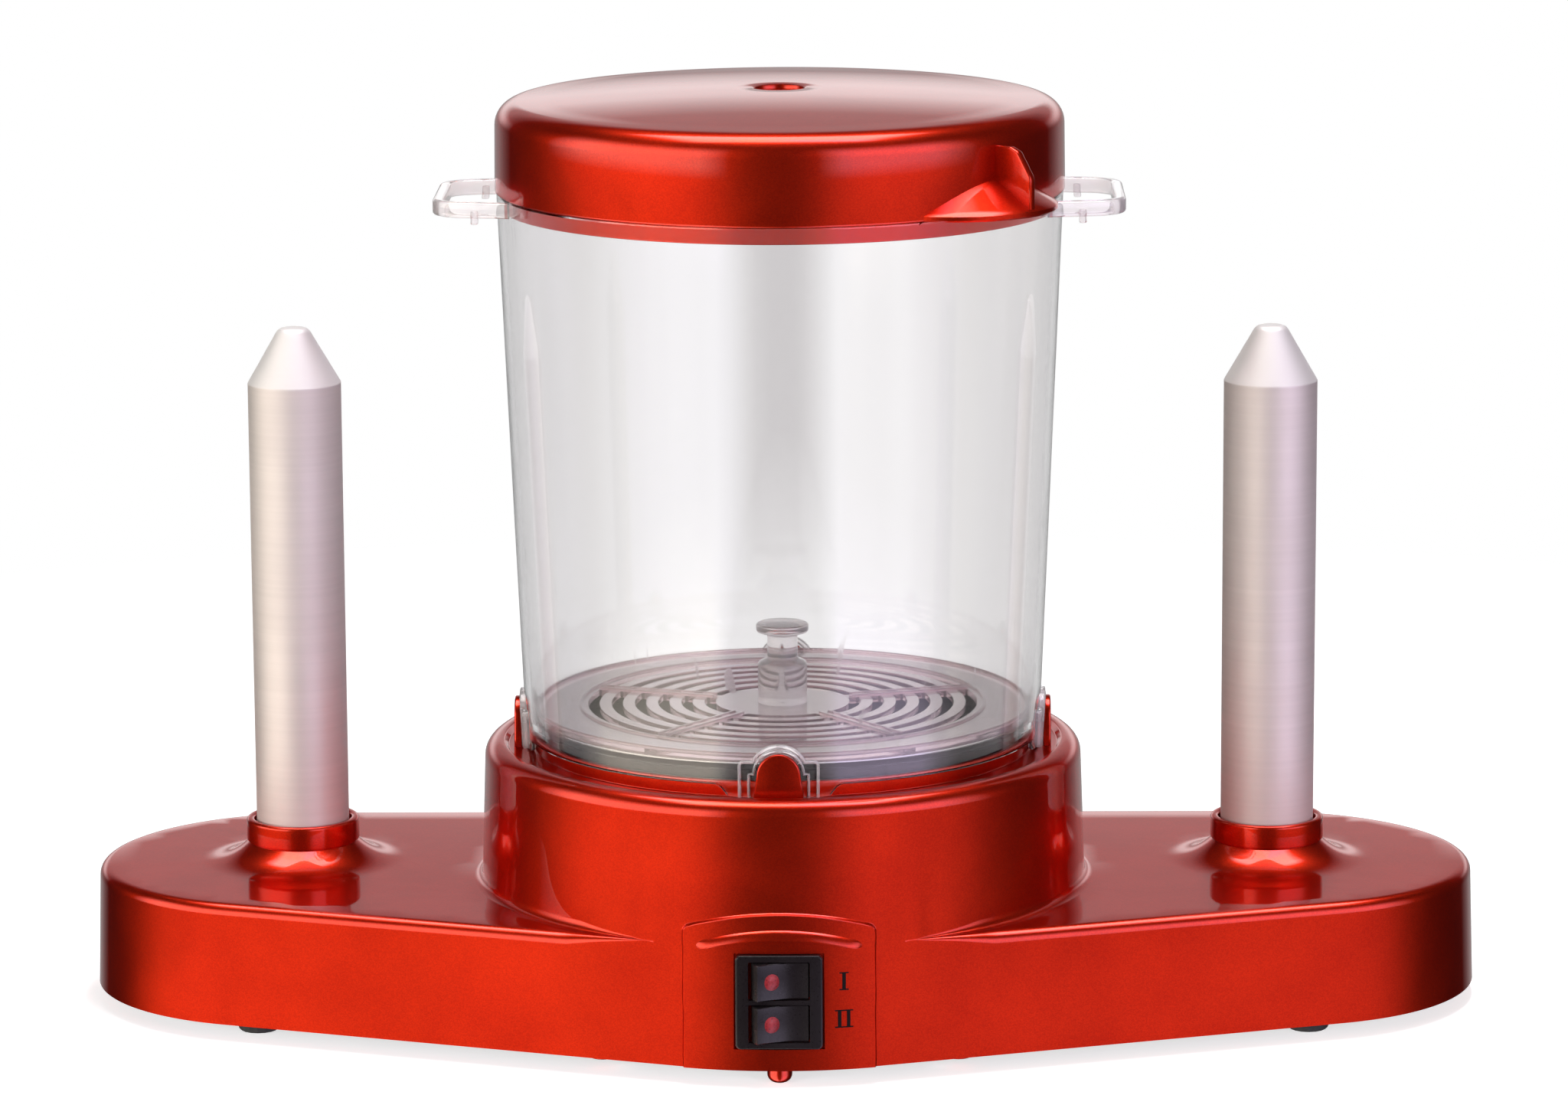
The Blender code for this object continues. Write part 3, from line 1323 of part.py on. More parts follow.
def skirt_cutter(index):
    """A block that lifts the skirt's lower edge between two of its feet."""
    reach = CONTAINER_FOOT_RADIUS + CUT_OVERRUN
    low = CONTAINER_FOOT - CUT_OVERRUN
    high = CONTAINER_FOOT + SKIRT_LIFT
    size = reach - SKIRT_FOOT_HALF
    middle = (reach + SKIRT_FOOT_HALF) / 2
    block = box("skirt_gap_" + str(index + 1), (middle, middle, (low + high) / 2), (size, size, high - low),
                TOOLS)
    return spun(block, math.tau * index / QUARTER_TURNS)


def pocket_frame(index):
    """The arched rib that frames one of the housing's tabs on the container's skirt."""
    inner = [(x, LEDGE_Z + height) for x, height in tab_outline(POCKET_GAP)]
    outer = [(x, LEDGE_Z + height) for x, height in tab_outline(POCKET_GAP + POCKET_RIB)]
    outline = [(x, max(z, CONTAINER_FOOT)) for x, z in outer]
    outline += [(x, max(z, CONTAINER_FOOT)) for x, z in reversed(inner)]
    start = container_radius(CONTAINER_FOOT) - CONTAINER_WALL / 2
    frame = plate("pocket_" + str(index + 1), [outline], start, start + POCKET_DEPTH, TOOLS, facing_front=True)
    return spun(frame, math.tau * index / QUARTER_TURNS)


def strip_outline(path, width):
    """The outline of a flat strip of constant width along a path of points."""
    points = [Vector(point) for point in path]
    left, right = [], []
    for index, point in enumerate(points):
        before = points[max(index - 1, 0)]
        after = points[min(index + 1, len(points) - 1)]
        along = (after - before).normalized()
        across = Vector((-along.y, along.x)) * (width / 2)
        left.append(tuple(point + across))
        right.append(tuple(point - across))
    return left + list(reversed(right))


def handle_path(side):
    """Centre line of a handle seen from above: out from the wall, along and back."""
    half = HANDLE_SPAN / 2 - HANDLE_BAR / 2
    wall = container_radius(CONTAINER_TOP)
    root = math.sqrt(wall * wall - half * half) - CONTAINER_WALL / 2
    out = wall + HANDLE_REACH - HANDLE_BAR / 2
    near = (root, half)
    corner_near = (out, half - HANDLE_SPLAY)
    corner_far = (out, HANDLE_SPLAY - half)
    far = (root, -half)
    path = [near]
    path += rounded(corner_near, near, corner_far, HANDLE_CORNER)
    path += rounded(corner_far, corner_near, far, HANDLE_CORNER)
    path.append(far)
    return [(side * x, y) for x, y in path]


def container_handle(side_name, side):
    """One clear loop handle level with the container's top."""
    outline = strip_outline(handle_path(side), HANDLE_BAR)
    return plate(side_name + "_handle", [outline], CONTAINER_TOP - HANDLE_HEIGHT, CONTAINER_TOP - SEAT_GAP,
                 TOOLS)


def make_container():
    """The clear container: tapered wall, tray ledge, footed skirt, tab frames and two handles."""
    container = turned("container", container_profile(), PARTS, WALL_STEPS)
    for index in range(QUARTER_TURNS):
        cut(container, skirt_cutter(index))
    for index in range(QUARTER_TURNS):
        join(container, pocket_frame(index))
    for side_name, side in SIDES.items():
        join(container, container_handle(side_name, side))
    return settle(container, CLEAR_PLASTIC)


# Steam tray

def slot_outline(radius, start, sweep):
    """A curved slot in the tray between two spokes."""
    steps = max(3, round(sweep * radius / (TRAY_SLOT_PITCH + TRAY_SLOT_WIDTH)))
    outer, inner = [], []
    for step in range(steps + 1):
        angle = start + sweep * step / steps
        far = radius + TRAY_SLOT_WIDTH / 2
        near = radius - TRAY_SLOT_WIDTH / 2
        outer.append((far * math.cos(angle), far * math.sin(angle)))
        inner.append((near * math.cos(angle), near * math.sin(angle)))
    return outer + list(reversed(inner))


def tray_radius():
    """Outer radius of the tray: the container's wall at the tray's underside less a gap."""
    return container_radius(TRAY_BOTTOM) - CONTAINER_WALL - RUN_GAP


def tray_outlines():
    """The tray's rim and its slots, ring by ring between the spokes."""
    outlines = [circle(tray_radius(), WALL_STEPS)]
    pitch_angle = math.tau / TRAY_SPOKES
    for ring in range(TRAY_SLOT_RINGS):
        radius = TRAY_SLOT_REACH - TRAY_SLOT_WIDTH / 2 - ring * TRAY_SLOT_PITCH
        web = TRAY_SPOKE / radius
        for spoke in range(TRAY_SPOKES):
            start = TRAY_SPOKE_START + spoke * pitch_angle + web / 2
            outlines.append(slot_outline(radius, start, pitch_angle - web))
    return outlines


def tray_post():
    """The post with a neck and a knob that the tray is lifted by."""
    base = TRAY_TOP - TRAY_THICKNESS / 2
    shoulder = TRAY_TOP + TRAY_POST_HEIGHT
    knob_low = shoulder + TRAY_NECK_HEIGHT
    knob_top = knob_low + TRAY_KNOB_HEIGHT
    profile = [
        (0, knob_top),
        (TRAY_KNOB_RADIUS, knob_top),
        (TRAY_KNOB_RADIUS, knob_low),
        (TRAY_NECK_RADIUS, knob_low),
        (TRAY_NECK_RADIUS, shoulder),
        (TRAY_POST_RADIUS, shoulder),
        (TRAY_POST_RADIUS, base),
        (0, base),
    ]
    return turned("tray_post", profile, TOOLS, SMALL_STEPS)


def make_tray():
    """The clear slotted tray that lies on the container's ledge over the water pan."""
    tray = plate("steam_tray", tray_outlines(), TRAY_BOTTOM, TRAY_TOP, PARTS)
    join(tray, tray_post())
    return settle(tray, CLEAR_PLASTIC)


# Lid

def lid_top(radius):
    """Height of the lid's domed top at a radius."""
    edge = LID_BOTTOM + LID_HEIGHT
    reach = LID_RADIUS - LID_ROUND
    return edge + LID_DOME * (1 - (radius / reach) ** 2)


def lid_profile():
    """Half section of the lid: domed top with a steam hole, rounded edge, side and inner skirt."""
    edge = LID_BOTTOM + LID_HEIGHT
    shoulder = LID_RADIUS - LID_ROUND
    inner = LID_RADIUS - LID_WALL
    skirt_outer = container_radius(LID_BOTTOM) - CONTAINER_WALL - LID_SKIRT_GAP
    skirt_inner = skirt_outer - LID_SKIRT_WALL
    skirt_low = LID_BOTTOM - LID_SKIRT_DEPTH
    roof = edge - LID_WALL
    steps = CORNER_STEPS
    profile = [(STEAM_HOLE_RADIUS + STEAM_HOLE_ROUND, lid_top(STEAM_HOLE_RADIUS))]
    for step in range(1, steps):
        radius = STEAM_HOLE_RADIUS + (shoulder - STEAM_HOLE_RADIUS) * step / steps
        profile.append((radius, lid_top(radius)))
    profile += rounded((LID_RADIUS, edge), (shoulder, edge), (LID_RADIUS, LID_BOTTOM), LID_ROUND, steps + 2)
    profile += [
        (LID_RADIUS, LID_BOTTOM),
        (skirt_outer, LID_BOTTOM),
        (skirt_outer, skirt_low),
        (skirt_inner, skirt_low),
        (skirt_inner, LID_BOTTOM + LID_WALL),
    ]
    corner = (inner, roof)
    profile += [(inner, LID_BOTTOM + 2 * LID_WALL)]
    profile += rounded(corner, (inner, LID_BOTTOM), (shoulder, roof), LID_ROUND - LID_WALL)
    for step in reversed(range(1, steps)):
        radius = STEAM_HOLE_RADIUS + (shoulder - STEAM_HOLE_RADIUS) * step / steps
        profile.append((radius, lid_top(radius) - LID_WALL))
    hole_top = lid_top(STEAM_HOLE_RADIUS)
    profile.append((STEAM_HOLE_RADIUS, hole_top - LID_WALL))
    profile.append((STEAM_HOLE_RADIUS, hole_top - STEAM_HOLE_ROUND))
    return profile


def grip_visor(name, angle):
    """A thin cone that stands out from the lid's side as a sloped visor, trimmed to the outside."""
    centre = LID_RADIUS + GRIP_REACH - GRIP_CONE_RADIUS
    low = LID_BOTTOM
    slope = GRIP_SLOPE_RISE / GRIP_CONE_RADIUS
    apex = low + GRIP_EDGE + GRIP_SLOPE_RISE
    profile = [(0, apex), (GRIP_CONE_RADIUS, low + GRIP_EDGE), (GRIP_CONE_RADIUS, low),
               (GRIP_CONE_RADIUS - GRIP_EDGE, low), (0, low + slope * (GRIP_CONE_RADIUS - GRIP_EDGE))]
    place = (centre * math.cos(angle), centre * math.sin(angle), 0)
    visor = turned(name, profile, TOOLS, PIECE_STEPS, place)
    bore = [(0, apex + CUT_OVERRUN), (LID_RADIUS - LID_WALL / 2, apex + CUT_OVERRUN),
            (LID_RADIUS - LID_WALL / 2, low - CUT_OVERRUN), (0, low - CUT_OVERRUN)]
    cut(visor, turned(name + "_bore", bore, TOOLS, WALL_STEPS))
    return visor


def grip_fin(name, angle):
    """The upright fin in the middle of a visor, its outer upper corner sloped off."""
    root = LID_RADIUS - LID_WALL / 2
    tip = LID_RADIUS + GRIP_REACH - GRIP_EDGE / 2
    shoulder = LID_RADIUS + GRIP_REACH * FIN_SHOULDER_REACH_SHARE
    top = LID_BOTTOM + FIN_TOP
    low = LID_BOTTOM + GRIP_EDGE / 2
    corner = (tip, top - FIN_SHOULDER_DROP)
    profile = [(root, low), (tip, low)]
    profile += rounded(corner, (tip, low), (shoulder, top), FIN_CORNER_DROP / 2)
    profile += [(shoulder - GRIP_EDGE, top), (root, top)]
    fin = plate(name, [profile], -FIN_THICKNESS / 2, FIN_THICKNESS / 2, TOOLS, facing_front=True)
    return spun(fin, angle)


def make_lid():
    """The red lid with its steam hole, inner skirt and two grips."""
    lid = turned("lid", lid_profile(), PARTS, WALL_STEPS)
    for index, angle in enumerate(GRIP_ANGLES):
        join(lid, grip_visor("visor_" + str(index + 1), angle))
        join(lid, grip_fin("fin_" + str(index + 1), angle))
    return settle(lid, RED_GLOSS)


def build():
    """Makes every piece of the hot dog maker."""
    make_base_housing()
    make_bottom_cover()
    make_feet()
    make_screws()
    make_heating_pan()
    make_pan_gasket()
    make_heating_ring()
    make_clamp_bar()
    make_clamp_nut()
    make_thermostat()
    make_thermal_fuse()
    for side_name, side in SIDES.items():
        make_spike(side_name, side)
        make_heater_core(side_name, side)
        make_spike_flange(side_name, side)
        make_spike_seal(side_name, side)
    make_switch_body()
    for name, z in rocker_places().items():
        make_rocker(name, z)
        make_lens(name, z)
    make_blades()
    make_cord_bush()
    make_terminal_block()
    make_container()
    make_tray()
    make_lid()


build()
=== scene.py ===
"""Looks of a countertop hot dog maker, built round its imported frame.

A red base with a drum and two wings carries a clear steaming container with a red lid, and an
aluminium warming spike stands in a collar on each wing. Sizes are in metres in the frame's own axes:
+X to the right-hand spike, -Y out of the front with the switches, +Z up, the origin on the drum's axis
at the level of the worktop.
"""

import json
import logging
import math
from dataclasses import dataclass, field
from enum import Enum

import bmesh
import bpy
import numpy as np
from mathutils import Euler, Matrix, Vector
from mathutils.geometry import delaunay_2d_cdt


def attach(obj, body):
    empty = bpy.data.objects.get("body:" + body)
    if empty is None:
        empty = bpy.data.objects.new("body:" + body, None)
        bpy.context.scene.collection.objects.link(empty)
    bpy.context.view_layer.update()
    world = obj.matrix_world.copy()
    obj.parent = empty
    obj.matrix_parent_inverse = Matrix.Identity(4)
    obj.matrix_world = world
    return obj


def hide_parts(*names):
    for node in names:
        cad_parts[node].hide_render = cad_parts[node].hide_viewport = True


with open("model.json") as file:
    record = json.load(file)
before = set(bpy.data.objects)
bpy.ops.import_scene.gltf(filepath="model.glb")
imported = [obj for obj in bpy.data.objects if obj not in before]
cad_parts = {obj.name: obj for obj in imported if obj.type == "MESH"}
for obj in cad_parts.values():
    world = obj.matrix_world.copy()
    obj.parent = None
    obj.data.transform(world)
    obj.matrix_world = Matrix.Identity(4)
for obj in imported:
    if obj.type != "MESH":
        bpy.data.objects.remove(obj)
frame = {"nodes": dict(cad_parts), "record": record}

LOG = logging.getLogger("hot_dog_maker")

Colour = tuple[float, float, float]

FULL_TURN = 2 * math.pi
FRONT = -math.pi / 2
SMOOTH_LIMIT = math.radians(34)
WELD = 0.000004
REAR_STEPS = 21


class Body(Enum):
    """Bodies of the frame that a piece can ride on."""

    BASE = "base"
    CONTAINER = "container"
    TRAY = "tray"
    LID = "lid"
    UPPER_ROCKER = "upper_rocker"
    LOWER_ROCKER = "lower_rocker"


class Side(Enum):
    """The two wings, by the sign of their X."""

    LEFT = -1
    RIGHT = 1


# Tools for surfaces

class Surface:
    """Vertices and faces gathered from grids, strips and caps before they become one mesh."""

    def __init__(self) -> None:
        """Starts empty."""
        self.points: list[np.ndarray] = []
        self.faces: list[tuple[int, ...]] = []
        self.count = 0

    def add_points(self, points: np.ndarray) -> int:
        """Adds points and returns the index of the first.

        Args:
            points: An array of shape (n, 3).

        Returns:
            The index of the first new vertex.
        """
        first = self.count
        self.points.append(np.asarray(points, dtype=float).reshape(-1, 3))
        self.count += len(self.points[-1])
        return first

    def add_grid(self, grid: np.ndarray, wrap_rows: bool = False, wrap_columns: bool = False,
                 keep: np.ndarray | None = None) -> None:
        """Adds quads between the neighbours of a grid of points.

        Args:
            grid: An array of shape (rows, columns, 3).
            wrap_rows: Whether the last row joins the first.
            wrap_columns: Whether the last column joins the first.
            keep: A mask of the quads to keep, or None for all.
        """
        rows, columns = grid.shape[:2]
        first = self.add_points(grid)
        i = np.arange(rows if wrap_rows else rows - 1)
        j = np.arange(columns if wrap_columns else columns - 1)
        i, j = np.meshgrid(i, j, indexing="ij")
        down, right = (i + 1) % rows, (j + 1) % columns
        quads = np.stack([i * columns + j, down * columns + j, down * columns + right,
                          i * columns + right], axis=-1) + first
        if keep is not None:
            quads = quads[keep]
        self.faces.extend(map(tuple, quads.reshape(-1, 4).tolist()))

    def add_cap(self, loop: np.ndarray) -> None:
        """Closes a loop of points with one flat face."""
        first = self.add_points(loop)
        self.faces.append(tuple(range(first, first + len(loop))))

    def add_triangles(self, points: np.ndarray, triangles: np.ndarray) -> None:
        """Adds a triangulated sheet.

        Args:
            points: An array of shape (n, 3).
            triangles: Indices of the corners, of shape (m, 3).
        """
        first = self.add_points(points)
        self.faces.extend(map(tuple, (np.asarray(triangles) + first).tolist()))

    def piece(self, name: str, material: bpy.types.Material, body: Body, slot: str,
              limit: float = SMOOTH_LIMIT) -> bpy.types.Object:
        """Makes the mesh, welds it, turns its faces outwards and puts it on its body.

        Args:
            name: The piece's name.
            material: The finish that covers it.
            body: The body that it rides on.
            slot: The record's material slot; not used.
            limit: The angle above which an edge stays sharp.

        Returns:
            The new object.
        """
        mesh = bpy.data.meshes.new(name)
        mesh.from_pydata(np.concatenate(self.points).tolist(), [], self.faces)
        work = bmesh.new()
        work.from_mesh(mesh)
        bmesh.ops.remove_doubles(work, verts=work.verts, dist=WELD)
        bmesh.ops.dissolve_degenerate(work, edges=work.edges, dist=WELD)
        bmesh.ops.recalc_face_normals(work, faces=work.faces)
        work.to_mesh(mesh)
        work.free()
        mesh.shade_smooth()
        mesh.set_sharp_from_angle(angle=limit)
        mesh.materials.append(material)
        item = bpy.data.objects.new(name, mesh)
        bpy.context.scene.collection.objects.link(item)
        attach(item, body.value)
        LOG.info("%s: %d faces", name, len(mesh.polygons))
        return item


def fillet(points: list[tuple[float, float]], radii: list[float], steps: int = 6) -> np.ndarray:
    """A profile whose inner corners are rounded by arcs that touch both neighbours.

    Args:
        points: The corners as (radius, height) pairs.
        radii: The rounding of each corner, zero for a sharp one.
        steps: Straight steps in each arc.

    Returns:
        The profile, of shape (n, 2).
    """
    corners = np.array(points, dtype=float)
    parts = [corners[:1]]
    share = np.linspace(0, 1, steps + 1)[:, None]
    for before, corner, after, radius in zip(corners, corners[1:], corners[2:], radii[1:]):
        if radius <= 0:
            parts.append(corner[None])
            continue
        to_before = (before - corner) / np.linalg.norm(before - corner)
        to_after = (after - corner) / np.linalg.norm(after - corner)
        half = math.acos(np.clip(to_before @ to_after, -1, 1)) / 2
        reach = radius / math.tan(half)
        start, end = corner + to_before * reach, corner + to_after * reach
        middle = (to_before + to_after) / np.linalg.norm(to_before + to_after)
        centre = corner + middle * radius / math.sin(half)
        mixed = (start - centre) * (1 - share) + (end - centre) * share
        arm_angle = math.acos(np.clip((start - centre) @ (end - centre) / radius ** 2, -1, 1))
        first = np.sin((1 - share) * arm_angle) / math.sin(arm_angle)
        second = np.sin(share * arm_angle) / math.sin(arm_angle)
        mixed = (start - centre) * first + (end - centre) * second
        parts.append(centre + mixed)
    parts.append(corners[-1:])
    return np.concatenate(parts)


def lathe(profile: np.ndarray, steps: int, centre: tuple[float, float] = (0, 0),
          start: float = 0.0) -> np.ndarray:
    """Points of a profile carried round a vertical axis: x = r cos a, y = r sin a, z = height.

    Args:
        profile: (radius, height) pairs.
        steps: Columns in the full turn.
        centre: Where the axis stands.
        start: The first column's angle.

    Returns:
        A grid of shape (steps, profile points, 3), to be wrapped in its rows.
    """
    angles = start + np.arange(steps) * FULL_TURN / steps
    radius, height = profile[:, 0], profile[:, 1]
    x = centre[0] + np.outer(np.cos(angles), radius)
    y = centre[1] + np.outer(np.sin(angles), radius)
    z = np.broadcast_to(height, x.shape)
    return np.stack([x, y, z], axis=-1)


def arc(centre: tuple[float, float], radius: float, first: float, last: float, steps: int) -> np.ndarray:
    """Points of an arc from one angle to another."""
    angles = np.linspace(first, last, steps + 1)
    return np.stack([centre[0] + radius * np.cos(angles), centre[1] + radius * np.sin(angles)], axis=-1)


def loop_normals(loop: np.ndarray) -> np.ndarray:
    """Outward unit normals at the points of a closed counterclockwise outline.

    Each is the right-hand perpendicular of the line between a point's neighbours.
    """
    along = np.roll(loop, -1, axis=0) - np.roll(loop, 1, axis=0)
    along /= np.linalg.norm(along, axis=1, keepdims=True)
    return np.stack([along[:, 1], -along[:, 0]], axis=-1)


def slab(outline: np.ndarray, low: float, high: float, edge: float, steps: int = 3) -> tuple[np.ndarray, ...]:
    """A plate with rounded rims on both faces, in its own (u, v, w) axes.

    Rings of the outline are drawn in by edge times one minus sine while the height moves by edge times
    cosine, a quarter round on each rim.

    Args:
        outline: The closed counterclockwise outline, of shape (n, 2).
        low: The lower face's height.
        high: The upper face's height.
        edge: The rims' rounding.
        steps: Straight steps in each rounding.

    Returns:
        The side as a grid of rings, and the lower and upper caps' loops.
    """
    normals = loop_normals(outline)
    turn = np.linspace(0, math.pi / 2, steps + 1)
    draw = edge * (1 - np.sin(turn))
    height = low + edge * (1 - np.cos(turn))
    draws = np.concatenate([draw, draw[::-1]])
    heights = np.concatenate([height, high + low - height[::-1]])
    rings = outline[None] - normals[None] * draws[:, None, None]
    grid = np.concatenate([rings, np.broadcast_to(heights[:, None, None], rings.shape[:2] + (1,))], axis=-1)
    return grid, grid[0][::-1], grid[-1]


def add_slab(surface: Surface, outline: np.ndarray, low: float, high: float, edge: float,
             place: np.ndarray) -> None:
    """Adds a rounded plate whose own axes are carried by a matrix.

    Args:
        surface: Where the faces go.
        outline: The closed counterclockwise outline.
        low: The lower face's height in the plate's own axes.
        high: The upper face's height.
        edge: The rims' rounding.
        place: A 4 by 4 matrix from the plate's axes to the frame's.
    """
    grid, low_cap, high_cap = slab(outline, low, high, edge)
    surface.add_grid(carried(grid, place), wrap_columns=True)
    surface.add_cap(carried(low_cap, place))
    surface.add_cap(carried(high_cap, place))


def carried(points: np.ndarray, place: np.ndarray) -> np.ndarray:
    """Points carried by a 4 by 4 matrix: the matrix's turn times the point plus its shift."""
    return points @ place[:3, :3].T + place[:3, 3]


def facing_front() -> np.ndarray:
    """The matrix from a front view's (x, height, outwards) axes to the frame's."""
    return np.array([[1, 0, 0, 0], [0, 0, -1, 0], [0, 1, 0, 0], [0, 0, 0, 1]], dtype=float)


def turned_about_z(angle: float) -> np.ndarray:
    """The matrix of a turn about Z."""
    c, s = math.cos(angle), math.sin(angle)
    return np.array([[c, -s, 0, 0], [s, c, 0, 0], [0, 0, 1, 0], [0, 0, 0, 1]], dtype=float)


def shifted(x: float, y: float, z: float) -> np.ndarray:
    """The matrix of a shift."""
    place = np.eye(4)
    place[:3, 3] = (x, y, z)
    return place


def round_rectangle(width: float, height: float, radius: float, centre: tuple[float, float] = (0, 0),
                    steps: int = 5) -> np.ndarray:
    """A counterclockwise rectangle with rounded corners, as four quarter arcs."""
    x, y = width / 2 - radius, height / 2 - radius
    corners = ((x, y, 0.0), (-x, y, math.pi / 2), (-x, -y, math.pi), (x, -y, 3 * math.pi / 2))
    parts = [arc((centre[0] + cx, centre[1] + cy), radius, start, start + math.pi / 2, steps)
             for cx, cy, start in corners]
    return np.concatenate(parts)


def smooth_step(value: np.ndarray, low: float, high: float) -> np.ndarray:
    """Zero below low, one above high and a smooth S between: 3 t squared less 2 t cubed."""
    t = np.clip((value - low) / (high - low), 0, 1)
    return t * t * (3 - 2 * t)


def swept(path: np.ndarray, section: np.ndarray) -> np.ndarray:
    """A closed section carried along a level path, kept square to it.

    Each ring is the path's point plus the section's first value across the path and its second upwards.

    Args:
        path: Points of shape (n, 3) at one height.
        section: The closed outline as (across, up) pairs.

    Returns:
        A grid of shape (n, section points, 3), to be wrapped in its columns.
    """
    along = np.gradient(path, axis=0)
    along /= np.linalg.norm(along, axis=1, keepdims=True)
    across = np.stack([-along[:, 1], along[:, 0], np.zeros(len(path))], axis=-1)
    up = np.array([0, 0, 1.0])
    return path[:, None] + across[:, None] * section[None, :, :1] + up * section[None, :, 1:]


# Shared effects as shader groups

class Sheet:
    """A small helper that places nodes in a node tree and wires them."""

    def __init__(self, tree: bpy.types.NodeTree) -> None:
        """Keeps the tree that the nodes go into."""
        self.tree = tree

    def add(self, kind: str, values: dict | None = None, **settings: object) -> bpy.types.Node:
        """Places a node.

        Args:
            kind: The node's type.
            values: Input names or indices with a value, or a socket to link.
            settings: Properties of the node.

        Returns:
            The node.
        """
        node = self.tree.nodes.new(kind)
        for key, setting in settings.items():
            setattr(node, key, setting)
        for key, value in (values or {}).items():
            if isinstance(value, bpy.types.NodeSocket):
                self.tree.links.new(value, node.inputs[key])
            else:
                node.inputs[key].default_value = value
        return node

    def math(self, operation: str, first: object, second: object = 0.0) -> bpy.types.NodeSocket:
        """Places a Math node and returns its result."""
        return self.add("ShaderNodeMath", {0: first, 1: second}, operation=operation).outputs[0]

    def span(self, value: bpy.types.NodeSocket, low: float, high: float, to_low: float = 0.0,
             to_high: float = 1.0) -> bpy.types.NodeSocket:
        """Maps a value from one range to another, clamped, and returns the result."""
        node = self.add("ShaderNodeMapRange", {"Value": value, "From Min": low, "From Max": high,
                                               "To Min": to_low, "To Max": to_high})
        return node.outputs["Result"]

    def mix(self, share: object, first: object, second: object) -> bpy.types.NodeSocket:
        """Mixes two colours by a share and returns the result."""
        node = self.add("ShaderNodeMix", data_type="RGBA")
        for index, value in ((0, share), (6, first), (7, second)):
            if isinstance(value, bpy.types.NodeSocket):
                self.tree.links.new(value, node.inputs[index])
            elif index == 0:
                node.inputs[index].default_value = value
            else:
                node.inputs[index].default_value = (*value, 1.0)
        return node.outputs[2]


def group_sockets(tree: bpy.types.NodeTree, inputs: dict[str, tuple[str, object]],
                  outputs: dict[str, str]) -> None:
    """Gives a node group its named sockets.

    Args:
        tree: The group.
        inputs: Names with a socket type and a default value, or None.
        outputs: Names with a socket type.
    """
    for name, (kind, default) in inputs.items():
        socket = tree.interface.new_socket(name=name, in_out="INPUT", socket_type=kind)
        if default is not None:
            socket.default_value = default
    for name, kind in outputs.items():
        tree.interface.new_socket(name=name, in_out="OUTPUT", socket_type=kind)


def grain_group() -> bpy.types.NodeTree:
    """Fine moulded grain: layered noise as a height and a mask centred on one half."""
    tree = bpy.data.node_groups.new("moulded_grain", "ShaderNodeTree")
    group_sockets(tree, {"Vector": ("NodeSocketVector", None), "Scale": ("NodeSocketFloat", 900.0)},
                  {"Height": "NodeSocketFloat", "Mask": "NodeSocketFloat"})
    sheet = Sheet(tree)
    start, end = sheet.add("NodeGroupInput"), sheet.add("NodeGroupOutput")
    fine = sheet.add("ShaderNodeTexNoise", {"Vector": start.outputs["Vector"],
                                            "Scale": start.outputs["Scale"], "Detail": 3.0})
    cells = sheet.add("ShaderNodeTexVoronoi", {"Vector": start.outputs["Vector"],
                                               "Scale": start.outputs["Scale"]})
    mixed = sheet.math("MULTIPLY_ADD", cells.outputs["Distance"], 0.5)
    mixed.node.inputs[2].default_value = 0.0
    height = sheet.math("ADD", fine.outputs["Fac"], mixed)
    tree.links.new(height, end.inputs["Height"])
    tree.links.new(fine.outputs["Fac"], end.inputs["Mask"])
    return tree


def handling_group() -> bpy.types.NodeTree:
    """Signs of handling: wide soft smudges and a few hair-fine scratches, as two masks."""
    tree = bpy.data.node_groups.new("handling", "ShaderNodeTree")
    group_sockets(tree, {"Vector": ("NodeSocketVector", None), "Smudge Scale": ("NodeSocketFloat", 22.0),
                         "Scratch Scale": ("NodeSocketFloat", 60.0)},
                  {"Smudge": "NodeSocketFloat", "Scratch": "NodeSocketFloat"})
    sheet = Sheet(tree)
    start, end = sheet.add("NodeGroupInput"), sheet.add("NodeGroupOutput")
    wide = sheet.add("ShaderNodeTexNoise", {"Vector": start.outputs["Vector"],
                                            "Scale": start.outputs["Smudge Scale"], "Detail": 4.0,
                                            "Distortion": 0.8})
    smudge = sheet.span(wide.outputs["Fac"], 0.42, 0.68)
    stretched = sheet.add("ShaderNodeMapping", {"Vector": start.outputs["Vector"],
                                                "Rotation": (0.4, 0.9, 0.3), "Scale": (1.0, 14.0, 1.0)})
    lines = sheet.add("ShaderNodeTexNoise", {"Vector": stretched.outputs["Vector"],
                                             "Scale": start.outputs["Scratch Scale"], "Detail": 2.0})
    scratch = sheet.span(lines.outputs["Fac"], 0.695, 0.72)
    tree.links.new(smudge, end.inputs["Smudge"])
    tree.links.new(scratch, end.inputs["Scratch"])
    return tree


def flake_group() -> bpy.types.NodeTree:
    """Metal flakes under a lacquer: tiny cells, each with its own brightness and tilt."""
    tree = bpy.data.node_groups.new("metal_flake", "ShaderNodeTree")
    group_sockets(tree, {"Vector": ("NodeSocketVector", None), "Scale": ("NodeSocketFloat", 3200.0)},
                  {"Sparkle": "NodeSocketFloat", "Cloud": "NodeSocketFloat"})
    sheet = Sheet(tree)
    start, end = sheet.add("NodeGroupInput"), sheet.add("NodeGroupOutput")
    cells = sheet.add("ShaderNodeTexVoronoi", {"Vector": start.outputs["Vector"],
                                               "Scale": start.outputs["Scale"]})
    separate = sheet.add("ShaderNodeSeparateColor", {"Color": cells.outputs["Color"]})
    cloud = sheet.add("ShaderNodeTexNoise", {"Vector": start.outputs["Vector"], "Scale": 45.0,
                                             "Detail": 3.0})
    tree.links.new(separate.outputs[0], end.inputs["Sparkle"])
    tree.links.new(cloud.outputs["Fac"], end.inputs["Cloud"])
    return tree


